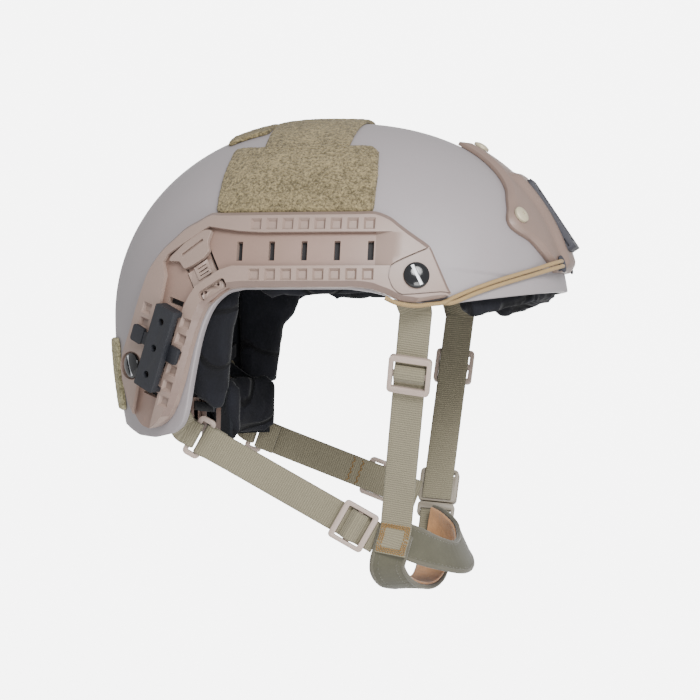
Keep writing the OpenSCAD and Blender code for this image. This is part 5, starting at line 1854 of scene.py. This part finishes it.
@dataclass
class RailHardware:
    """Bolts, nuts, adapters and wing locks."""

    radius: float = 7.5
    seat: float = 6.8
    dome: Flat = (0.9, 2.1)
    shaft: Flat = (2.45, -14)
    slot: Flat = (1.9, 12.4)
    spots: tuple[tuple[Flat, float], ...] = ((FRONT_BOLT, 24), (REAR_BOLT, 15))

    def bolts(self) -> None:
        """Makes the domed, slotted bolts of both sides, their slot floors painted white as a highlight."""
        side, rise = self.dome
        shaft, foot = self.shaft
        dome = [(self.radius * math.sin(a), self.seat + side + rise * math.cos(a))
                for a in np.linspace(0.001, 1.57, 9)]
        whole = Stock()
        for place, turn in self.spots:
            bolt = Stock.lathe([(0, self.seat + side + rise), *dome[1:], (self.radius, self.seat),
                                (shaft, self.seat), (shaft, foot), (0, foot)])
            bolt = carved(bolt, [Stock.pocket((0, 0), turn, self.slot, self.seat + 2, self.seat + 4, 0)])
            for f in bolt.bm.faces:
                # The slot floors take the white of a painted highlight.
                f.material_index = int(f.normal.z > 0.99 and f.calc_center_median().z < self.seat + 2.1)
            whole.add(bolt.bevel(0.2, 2, 40).turn(SKIN.stand(place)))
        mirror = Stock().add(whole).turn(Matrix.Diagonal((1, -1, 1, 1)))
        bmesh.ops.reverse_faces(mirror.bm, faces=mirror.bm.faces[:])
        piece("rail_bolts", whole.add(mirror).mesh(), [GLOSS, SLOT_HIGHLIGHT])

    def build(self) -> None:
        """Dresses the hardware of both sides."""
        self.bolts()
        rounded("rail_nuts", NUT, width=0.3)
        for side in Side:
            rounded(f"adapter_plate_{side.word}", BLACK, f"adapter_{side.word}", 0.5)
            rounded(f"wing_lock_{side.word}", BLACK, f"wing_{side.word}", 0.5)


def facing(points: np.ndarray, faces: np.ndarray) -> np.ndarray:
    """Width directions that keep a band square to given outward directions.

    Args:
        points: Points of a band's middle line.
        faces: The direction that it faces at each.

    Returns:
        One direction for each point.
    """
    points = np.asarray(points, float)
    ahead = np.diff(points, axis=0, append=points[-1:])
    ahead[-1] = ahead[-2]
    return unit(np.cross(ahead, np.asarray(faces, float)))


@dataclass(frozen=True)
class Run:
    """A straight strap from the shell down to the chin."""

    side: Side
    top: Point
    foot: Point

    @property
    def frame(self) -> np.ndarray:
        """Its axes as rows: across, up along the strap and outwards.

        Returns:
            The three axes.
        """
        up = unit(np.subtract(self.top, self.foot))
        across = unit(np.cross(up, [0, self.side.value, 0]))
        return np.array([across, up, np.cross(across, up)])

    def at(self, place: float, offsets: Sequence[Flat]) -> np.ndarray:
        """Points at a share of its length, moved up along it and outwards."""
        return mix(self.top, self.foot, place) + np.asarray(offsets, float) @ self.frame[1:]

    def ribbon(self, points: np.ndarray, bend: float = 5.0) -> Ribbon:
        """A band through points, as wide as the strap's own across."""
        return Ribbon(points, np.tile(self.frame[0], (len(points), 1)), bend=bend)


@dataclass
class Harness:
    """Straps, sliders and rings of both sides."""

    front: dict[Side, Run] = field(default_factory=lambda: {
        Side.RIGHT: Run(Side.RIGHT, (61, -100.2, -12), (42.4, -54, -141)),
        Side.LEFT: Run(Side.LEFT, (62, 100, -14), (52, 56, -133))})
    rear: dict[Side, Run] = field(default_factory=lambda: {
        Side.RIGHT: Run(Side.RIGHT, (-72, -62, -90), (31, -50.7, -148.5)),
        Side.LEFT: Run(Side.LEFT, (-63, 60, -93), (40, 55.5, -131))})
    slider_at: dict[str, float] = field(default_factory=lambda: {
        "front_right": 0.28, "front_left": 0.28, "rear_right": 0.86, "rear_left": 0.76})
    width: float = 19.0
    thick: float = 1.5
    seat: float = 7.25
    ring_at: float = -0.04
    lap: float = 2.55
    slider_seat: float = 1.05
    bar_rise: float = 2.5
    sewn: float = 19.5
    zigzag_at: float = 0.63

    def seated(self, side: Side, x: float, z: float) -> tuple[np.ndarray, np.ndarray]:
        """A place of webbing inside the shell, and the direction that it faces.

        Args:
            side: The side of the helmet.
            x: The place along x.
            z: Its height.

        Returns:
            The place and the direction.
        """
        p = one(SKIN.flank, x, z, -self.seat)
        n = SKIN.outward(one(SKIN.flank, x, z, 0)[None])[0]
        return side.of(p), side.of(n)

    def front_ribbon(self, run: Run) -> Ribbon:
        """The front strap, from the bolt down.

        Args:
            run: The strap's run.

        Returns:
            Its line.
        """
        x, z = FRONT_BOLT
        seats = [self.seated(run.side, *p) for p in ((x + 0.6, z + 9), (x, z), (x - 1.3, z - 9.2))]
        points = [p for p, _ in seats] + [mix(run.top, run.foot, t) for t in (0, 0.03, 0.5, 1)]
        if run.side is Side.RIGHT:
            points += [(41.3, -55.6, -147), (39.8, -56, -152), (38.9, -56, -157)]
        faces = [n for _, n in seats] + [(0, run.side.value, 0)] * (len(points) - 3)
        return Ribbon(np.array(points), facing(points, faces))

    def box_stitch(self, ribbon: Ribbon) -> None:
        """The sewn square at the strap's lower end.

        Args:
            ribbon: The strap's line.
        """
        out = Stock()
        end = ribbon.length
        for inset in (1.1, 2.2, 3.3):
            a, b, u = end - self.sewn + inset, end - inset, self.width / 2 - inset
            route = [(a, -u), (a, u), (b, u), (b, -u), (a, -u)]
            ribbon.stitches(route, self.thick / 2 + 0.1, 1.6, (1.8, 1.1, 0.9), out)
        piece("front_strap_right_stitches", out.mesh(), [THREAD], smooth=80)

    def zigzag(self, ribbon: Ribbon, at: float) -> None:
        """The sewn zigzag across the far rear strap.

        Args:
            ribbon: The strap's line.
            at: The length along it where the zigzag starts.
        """
        out = Stock()
        for shift in (0.0, 6.0):
            route = [(at + shift + 1.6 * (k % 2), -8 + 2 * k) for k in range(9)]
            for height in (self.thick / 2 + 0.1, -self.thick / 2 - 0.1):
                ribbon.stitches(route, height, 1.1, (1.5, 1.0, 0.8), out)
        piece("rear_strap_left_stitches", out.mesh(), [THREAD], smooth=80)

    def rear_ribbon(self, run: Run) -> Ribbon:
        """The rear strap, folded round its ring.

        Args:
            run: The strap's run.

        Returns:
            Its line.
        """
        a = self.lap
        ring = run.at(self.ring_at, (
            (-14, -a), (-5.5, -a), (-2.6, -a), (-1.6, -0.6 * a), (-1.3, 0), (-1.6, 0.6 * a), (-2.6, a), (-6, a),
            (-10, 1)))
        return run.ribbon(np.array([*ring, mix(run.top, run.foot, 0.15), run.foot]))

    def nape_ribbon(self, run: Run) -> Ribbon:
        """The webbing from the rear bolt to the ring.

        Args:
            run: The strap's run.

        Returns:
            Its line.
        """
        x, z = REAR_BOLT
        a = self.lap
        seats = [self.seated(run.side, *p) for p in ((x - 7, z + 7.5), (x, z), (x + 6, z - 7))]
        ring = run.at(self.ring_at, (
            (10, a), (2.6, a), (1.6, 0.6 * a), (1.3, 0), (1.6, -0.6 * a), (2.6, -a), (8, -a)))
        points = np.array([p for p, _ in seats] + [mix(seats[2][0], ring[0], 0.5), *ring])
        faces = [n for _, n in seats] + [unit(seats[2][1] + run.frame[2])]
        wides = -facing(points[:5], np.array([*faces, run.frame[2]]))[:4]
        return Ribbon(points, np.array([*wides, *[run.frame[0]] * 7]))

    def loop_ribbon(self, run: Run, place: float) -> Ribbon:
        """The webbing over a slider's middle bar.

        Args:
            run: The strap's run.
            place: The slider's share of the run.

        Returns:
            Its line.
        """
        low = self.slider_seat + self.thick / 2
        top = low + self.bar_rise
        half = [(5, low), (3.5, low + 1.2), (1.8, top)]
        return run.ribbon(run.at(place, half + [(-y, z) for y, z in half[::-1]]), 3)

    def build(self) -> None:
        """Makes and dresses the harness."""
        for side in Side:
            word = side.word
            for kind, run, ribbon in (("front", self.front[side], self.front_ribbon(self.front[side])),
                                      ("rear", self.rear[side], self.rear_ribbon(self.rear[side]))):
                name = f"{kind}_strap_{word}"
                if name == "front_strap_right":
                    self.box_stitch(ribbon)
                if name == "rear_strap_left":
                    self.zigzag(ribbon, ribbon.length * self.zigzag_at)
                piece(name, ribbon.band(self.width, self.thick).mesh(), [WEB])
                body = f"{kind}_slide_{word}"
                loop = self.loop_ribbon(run, self.slider_at[f"{kind}_{word}"])
                piece(f"{kind}_loop_{word}", loop.band(self.width - 0.6, self.thick).mesh(), [WEB], body)
                rounded(f"{kind}_slider_{word}", SLIDER, body, 0.7)
            rounded(f"nape_ring_{word}", SLIDER, width=0.8)
            piece(f"nape_web_{word}", self.nape_ribbon(self.rear[side]).band(16, self.thick).mesh(), [WEB])


@dataclass
class ChinCup:
    """The chin band, the sling below it, their suede lining and the buckle."""

    band_path: tuple[Point, ...] = ((43, -50, -147.5), (53, -45.5, -152), (65, -33, -158), (75, -15, -162.5),
                                    (77, 6, -161), (72, 27, -155), (61, 40.3, -149.5), (50, 47.2, -147))
    band_wide: tuple[Point, ...] = ((0.2, 0, 1), (0.1, 0.1, 1), (-0.25, 0.25, 1), (-0.45, 0.15, 1), (-0.5, 0, 1),
                                    (-0.4, -0.2, 1), (-0.2, -0.2, 1), (0.1, 0, 1))
    sling_path: tuple[Point, ...] = ((42, -53, -144), (38.8, -53.3, -156), (36.5, -50.3, -166),
                                     (40, -35.5, -176.5), (47, -14, -181.5), (52, 8, -180), (53.5, 27, -173.5),
                                     (52, 39.5, -167), (50.5, 46, -160.5))
    sling_wide: tuple[Point, ...] = ((1, 0, 0.05), (1, 0.1, 0.15), (1, 0.1, 0.1), (1, 0.2, 0), (1, 0.1, 0),
                                     (1, 0, 0), (1, -0.1, 0), (1, -0.1, 0), (1, 0, 0.1))
    width: float = 21.0
    thick: float = 2.2
    lining: float = 2.4
    lining_ends: Flat = (0.25, 0.84)
    buckle_at: float = 0.925
    tab: tuple[Flat, ...] = ((-37, 1.1), (-27, 0.5), (-21.5, -0.1), (-17.8, 0), (-17.3, 1.4), (-17.3, 5.6),
                             (-17.8, 7), (-21.5, 7.1), (-27, 5.6), (-32, 3.5), (-37, 3))
    seam: float = 7.8
    stitch: Point = (2.3, 0.7, 0.5)
    pitch: float = 3.0

    def build(self) -> None:
        """Makes and dresses the chin cup."""
        band = Ribbon(self.band_path, self.band_wide, 0.8, 200)
        sling = Ribbon(self.sling_path, self.sling_wide, 0.8, 200)
        piece("chin_band", band.band(self.width, self.thick, 0.0).mesh(), [TAPE])
        piece("chin_sling", sling.band(self.width, self.thick, 0.05).mesh(), [TAPE])
        seams = Stock()
        for u in (-self.seam, self.seam):
            for tape, start, v in ((band, 6, u), (sling, 15, u * 0.7)):
                tape.stitches([(start, v), (tape.length - 3, v)], -self.thick / 2, self.pitch, self.stitch, seams)
            for tape in (band, sling):
                edge = tape.beside(np.linspace(0, tape.length, 30), u * 1.2, 0, 0.9)
                seams.add(edge.band(3.0, 2.9, 0.0, across=2))
        piece("chin_seams", seams.mesh(), [BINDING], smooth=80)
        part = np.linspace(*(share * sling.length for share in self.lining_ends), 24)
        inner = sling.beside(part, 0, self.lining, 0.8)
        lining = band.band(self.width - 2, 1.8, 0.0, height=self.lining)
        lining.add(inner.band(self.width - 2, 1.8, 0.0))
        piece("chin_lining", lining.mesh(), [SUEDE])
        straps = Harness()
        run = straps.front[Side.LEFT]
        tab = run.ribbon(run.at(self.buckle_at, [(y, z + straps.slider_seat) for y, z in self.tab]))
        piece("chin_tab", tab.band(straps.width, straps.thick).mesh(), [WEB])
        rounded("buckle_socket", BUCKLE, width=0.6)
        rounded("buckle_plug", BUCKLE, width=0.6)


@dataclass
class Elastic:
    """The two elastic cords of a side, from the shroud to the rail."""

    side: Side
    radius: float = 1.25
    pitch: float = 2.75
    route: tuple[Flat, ...] = ((25, 10.6), (31, 7.6), (37, 4), (43, -0.5), (48.5, -5.6))
    hook: tuple[Flat, ...] = ((75.5, -7.4), (69, -8.2), (61, -9), (51.5, -7.5), (45, -4.5))

    def strand(self, s: int) -> Stock:
        """One of the two strands.

        Args:
            s: 0 for the upper strand, 1 for the lower.

        Returns:
            The closed cord.
        """
        lift = self.radius + 0.5
        side = (0.5 - s) * self.pitch
        points = [one(SKIN.forehead, -32, 15 + side, h) for h in (1.2, 3.6, 5.8)]
        points += [one(SKIN.bearing, b, z + side, h) for b, z, h in ((14.6, 14.7, 6.9), (16.8, 14, 7),
                                                                    (19.5, 13.1, 5))]
        points += [one(SKIN.bearing, b, z + side, lift) for b, z in self.route]
        points += [one(SKIN.flank, x, z, lift + (1 - s) * self.pitch) for x, z in self.hook]
        return tube(self.side.of(np.array(points)), self.radius)

    def build(self) -> None:
        """Makes and dresses the cords."""
        data = self.strand(0).add(self.strand(1)).mesh()
        piece(f"elastic_{self.side.word}", data, [CORD], smooth=80)


PadPlace = Callable[[np.ndarray, np.ndarray, np.ndarray], np.ndarray]


@dataclass(frozen=True)
class Pad:
    """A padded piece of the liner."""

    node: str
    place: PadPlace
    size: Flat
    cap: float = 2.2
    shrink: float = 0.2
    voxel: float = 4.5
    swell: float = 0.8
    fold: float = 0.7

    def blank(self) -> bpy.types.Mesh:
        """The closed pad before it swells, a little smaller than it will be.

        Returns:
            The closed mesh, in millimetres.
        """
        cols, rows = (max(4, round(s / 4)) for s in self.size)
        out = Stock.grid(cols, rows, lambda uv: np.column_stack([uv, np.ones(len(uv))])).slab(0)
        trim = np.array([self.shrink / s for s in self.size])

        def laid(p: np.ndarray) -> np.ndarray:
            """Lays the pad in the shell, drawn in at its corners.

            Args:
                p: Rows of shares across and up, and 1 for the inner side.

            Returns:
                Rows of x, y and z.
            """
            uv = trim + p[:, :2] * (1 - 2 * trim)
            flat, _ = cornered((uv - 0.5) * self.size, self.size, min(9.0, min(self.size) * 0.3))
            uv = flat / self.size + 0.5
            return self.place(uv[:, 0], uv[:, 1], 0.1 + 0.8 * p[:, 2])

        return out.move(laid).outside().mesh()

    def blown(self, data: bpy.types.Mesh) -> bpy.types.Mesh:
        """A mesh blown up as cloth, with a limit to how far it may grow.

        Args:
            data: The mesh in metres, which is used up.

        Returns:
            The blown mesh.
        """
        frames = 20
        start = column(data.vertices, "co")
        obj = placed("cloth", data)
        mod = obj.modifiers.new("cloth", "CLOTH")
        mod.settings.use_pressure = True
        mod.settings.uniform_pressure_force = 4
        mod.settings.effector_weights.gravity = 0
        mod.settings.quality = 4
        mod.point_cache.frame_start, mod.point_cache.frame_end = 1, frames
        scene = bpy.context.scene
        for frame_no in range(1, frames + 1):
            scene.frame_set(frame_no)
        graph = bpy.context.evaluated_depsgraph_get()
        out = bpy.data.meshes.new_from_object(obj.evaluated_get(graph))
        bpy.data.objects.remove(obj)
        scene.frame_set(1)
        grown = column(out.vertices, "co") - start
        far = np.linalg.norm(grown, axis=1, keepdims=True)
        places = start + grown * np.minimum(1, self.cap * MM / np.maximum(far, 1e-9))
        out.vertices.foreach_set("co", places.ravel())
        return out

    def swollen(self) -> bpy.types.Mesh:
        """The pad as a soft closed cushion.

        Returns:
            The closed mesh, in millimetres.
        """
        data = self.blank()
        data.transform(Matrix.Scale(MM, 4))
        data = applied(data, ("REMESH", {"mode": "VOXEL", "voxel_size": self.voxel * MM}))
        data = self.blown(data)
        data = applied(data, ("SMOOTH", {"iterations": 3, "factor": 0.5}),
                       ("SUBSURF", {"levels": 1, "render_levels": 1}))
        data.transform(Matrix.Scale(1 / MM, 4))
        return data

    def creased(self, data: bpy.types.Mesh) -> bpy.types.Mesh:
        """Soft folds in the cover.

        Args:
            data: The pad's mesh.

        Returns:
            The same mesh.
        """
        data.update()
        for v, n in zip(data.vertices, [n.vector.copy() for n in data.vertex_normals]):
            p = v.co
            soft = noise.noise(Vector((p.x * 0.075, p.y * 0.075, p.z * 0.075)))
            line = 1 - abs(noise.noise(Vector((p.x * 0.05 + 9, p.y * 0.11, p.z * 0.05)))) * 5
            v.co = p + n * (soft * self.swell - max(line, 0) * self.fold)
        return data

    def build(self) -> None:
        """Makes and dresses the pad."""
        obj = piece(self.node, self.creased(self.swollen()), [PAD], smooth=80)


@dataclass
class Liner:
    """The pads inside the shell."""

    clear: float = 6.2
    edge: float = 7.0
    thick: float = 17.0
    nape_reach: float = 63.7

    @staticmethod
    def swell(u: np.ndarray, v: np.ndarray) -> np.ndarray:
        """How full a pad is over its face, from 0 at its edge to 1 in the middle."""
        across, up = (1 - np.abs(2 * t - 1) ** 3 for t in (u, v))
        return np.sqrt(np.clip(across * up, 0, 1))

    def depth(self, u: np.ndarray, v: np.ndarray) -> np.ndarray:
        """Thickness of a pad over its face."""
        return self.edge + (self.thick - self.edge) * self.swell(u, v)

    def ring(self, front: Sequence[Flat], back: float, low: Sequence[Flat], top: float,
             side: Side = Side.RIGHT) -> PadPlace:
        """A pad against the wall, between bearings and heights.

        Args:
            front: Rows of a height and the front end's bearing there.
            back: The other end's bearing.
            low: Rows of a bearing and the lower end's height there.
            top: Height of its upper end.
            side: The side of the helmet.

        Returns:
            Gives a point for each share across, up and inwards.
        """
        edge, foot = np.array(front, float), np.array(low, float)

        def place(v: np.ndarray, u: np.ndarray, depth: np.ndarray) -> np.ndarray:
            """Lays shares across and up, and a share of the depth.

            Args:
                v: Shares across.
                u: Shares up.
                depth: Shares of the depth.

            Returns:
                Rows of x, y and z.
            """
            start = np.interp(np.abs(edge[0, 1] + (back - edge[0, 1]) * v), foot[:, 0], foot[:, 1])
            z = start + (top - start) * u
            first = np.interp(z, edge[:, 0], edge[:, 1])
            b = first + (back - first) * v
            p = SKIN.bearing(np.column_stack([b, z, -self.clear - depth * self.depth(u, v)]))
            return side.of(p)

        return place

    def crown(self, v: np.ndarray, u: np.ndarray, depth: np.ndarray) -> np.ndarray:
        """Lays the pad under the crown."""
        return SKIN.crown_cap(np.column_stack([-58 + 100 * u, -48 + 96 * v, -self.clear - depth * self.depth(u, v)]))

    def nape(self, v: np.ndarray, u: np.ndarray, depth: np.ndarray) -> np.ndarray:
        """Lays the pad inside the nape cradle, its ends wrapped round the cradle's.

        Args:
            v: Shares across.
            u: Shares up.
            depth: Shares of the depth.

        Returns:
            Rows of x, y and z.
        """
        a = np.radians(121 + 118 * v)
        wrap = 5 * np.clip((np.abs(2 * v - 1) - 0.8) * 12, 0, 1) * np.clip((u - 0.2) * 8, 0, 1)
        r = self.nape_reach + wrap - depth * (6 + wrap + 7 * self.swell(u, v))
        return np.column_stack([CRADLE_X + r * np.cos(a), r * np.sin(a), -91 + 39 * u])

    def build(self) -> None:
        """Makes the pads."""
        Pad("brow_pad", self.ring([(0, -46)], 46, [(0, -3), (20, -6.5), (30, -11), (40, -16), (46, -16)], 26),
            (185, 32), voxel=3).build()
        Pad("back_pad", self.ring([(0, 149)], 211, [(149, -40), (211, -40)], 30), (122, 68)).build()
        Pad("crown_pad", self.crown, (96, 104)).build()
        Pad("nape_pad", self.nape, (122, 38)).build()
        fronts = {Side.RIGHT: [(-84, 117), (-60, 112), (-40, 111), (-25, 110), (-10, 108), (16, 106)],
                  Side.LEFT: [(-84, 125), (-64, 119), (-42, 117), (-24, 115), (-10, 111), (16, 108)]}
        for side, front in fronts.items():
            Pad(f"temple_pad_{side.word}", self.ring([(0, 64)], 103, [(64, -2), (103, -4)], 44, side),
                (76, 46)).build()
            Pad(f"rear_side_pad_{side.word}", self.ring(
                front, 132, [(100, -82), (114, -80), (126, -63), (150, -60)], 16, side), (44, 98)).build()


@dataclass
class NapeFit:
    """The cradle at the nape, its dial and the bands that it winds."""

    end_reach: float = 68.5
    end_share: float = 0.66

    def build(self) -> None:
        """Dresses the nape fit; the cradle's inner faces and the ends of its arc are painted near black, partly for
        the pad foam over them and partly as painted shade.
        """
        data = Stock.of_node("nape_cradle").bevel(0.6).mesh()
        for face in data.polygons:
            n, y = face.normal, face.center.y
            x = face.center.x - CRADLE_X
            far = math.hypot(x, y)
            end = far < self.end_reach and x > -self.end_share * far
            # Inner faces and arc ends take the near black, partly pad foam and partly painted shade.
            face.material_index = int(end or n.x * x + n.y * y < 0)
        piece("nape_cradle", data, [NAPE, INSIDE_BLACK_AND_SHADE], smooth=40)
        rounded("dial_housing", NAPE, width=0.8)
        rounded("dial_knob", BLACK, "dial", 0.4)
        for side in Side:
            rounded(f"fit_band_{side.word}", BLACK, f"band_{side.word}", 0.2)


@dataclass
class Studio:
    """The floor, the lights and the camera."""

    target: Point = (0.005, 0.0, -0.036)
    bearing: float = 10.0
    rise: float = 1.0
    distance: float = 1.3
    lens: float = 106.97
    floor: float = -0.6
    floor_half: float = 1.5
    wall_half: float = 0.76
    wall_at: Point = (-0.453, 2.6, -0.1)
    wall_glow: float = 5.5
    room: float = 0.9
    lamps: tuple[tuple[str, Point, float, float], ...] = (
        ("key", (0.8, -1.5, 0.95), 0.9, 40), ("front", (0.5, -1.25, 0.7), 0.5, 10),
        ("low", (0.7, -1.25, -0.42), 0.7, 14))

    def light(self, name: str, place: Point, size: float, power: float) -> None:
        """A soft lamp that faces the helmet.

        Args:
            name: Its name.
            place: Where it stands.
            size: Its width.
            power: Its strength in watts.
        """
        data = bpy.data.lights.new(name, "AREA")
        data.shape = "DISK"
        data.size = size
        data.energy = power
        obj = placed(name, data)
        obj.location = place
        obj.rotation_euler = (Vector(self.target) - Vector(place)).to_track_quat("-Z", "Y").to_euler()

    def sheet(self, name: str, size: float, place: Matrix, material: bpy.types.Material) -> None:
        """A flat sheet of the studio.

        Args:
            name: Its name.
            size: Half its width.
            place: Where it lies.
            material: Its material.
        """
        work = Stock()
        bmesh.ops.create_grid(work.bm, x_segments=8, y_segments=8, size=size)
        data = work.turn(place).mesh(name)
        data.materials.append(material)
        placed(name, data)

    def ground(self) -> None:
        """A wide pale floor."""
        graph = Graph("floor_paper")
        grain = graph.noise(graph.object_point(), 90, 3)
        pale = graph.tint(grain, (0.86, 0.86, 0.86, 1), (0.9, 0.9, 0.9, 1))
        self.sheet("floor", self.floor_half, Matrix.Translation((0, 0, self.floor)),
                   graph.close(Base_Color=pale, Roughness=0.9))

    def wall(self) -> None:
        """A lit white wall far behind the helmet."""
        graph = Graph("wall_light")
        grain = graph.noise(graph.object_point(), 3, 2)
        white = graph.tint(grain, (0.97, 0.97, 0.97, 1), (1, 1, 1, 1))
        place = Matrix.Translation(self.wall_at) @ Matrix.Rotation(math.pi / 2, 4, "X")
        self.sheet("wall", self.wall_half, place, graph.close(Base_Color=white, Roughness=0.9, Emission_Color=white,
                                                              Emission_Strength=self.wall_glow))

    def build(self) -> None:
        """Sets the scene up."""
        self.ground()
        self.wall()
        world = bpy.data.worlds.new("room")
        world.use_nodes = True
        back = world.node_tree.nodes["Background"]
        back.inputs["Color"].default_value = (1, 1, 1, 1)
        back.inputs["Strength"].default_value = self.room
        bpy.context.scene.world = world
        for lamp in self.lamps:
            self.light(*lamp)
        a, e = math.radians(self.bearing), math.radians(self.rise)
        back_off = Vector((math.sin(a) * math.cos(e), -math.cos(a) * math.cos(e), math.sin(e))) * self.distance
        data = bpy.data.cameras.new("camera")
        data.lens = self.lens
        data.sensor_width = 36
        data.clip_end = 20
        camera = placed("camera", data)
        camera.location = Vector(self.target) + back_off
        camera.rotation_euler = (-back_off).to_track_quat("-Z", "Y").to_euler()
        bpy.context.scene.camera = camera


def main() -> None:
    """Builds the studio and the helmet, one part after the other."""
    logging.basicConfig(level=logging.INFO, format="%(message)s")
    for part in (Studio(), Shell(), SideRail(Side.RIGHT), SideRail(Side.LEFT), Patches(), FrontShroud(),
                 RailHardware(), Elastic(Side.RIGHT), Elastic(Side.LEFT), Liner(), NapeFit(), Harness(), ChinCup()):
        LOG.info("building %s", type(part).__name__)
        part.build()


if __name__ == "__main__":
    main()
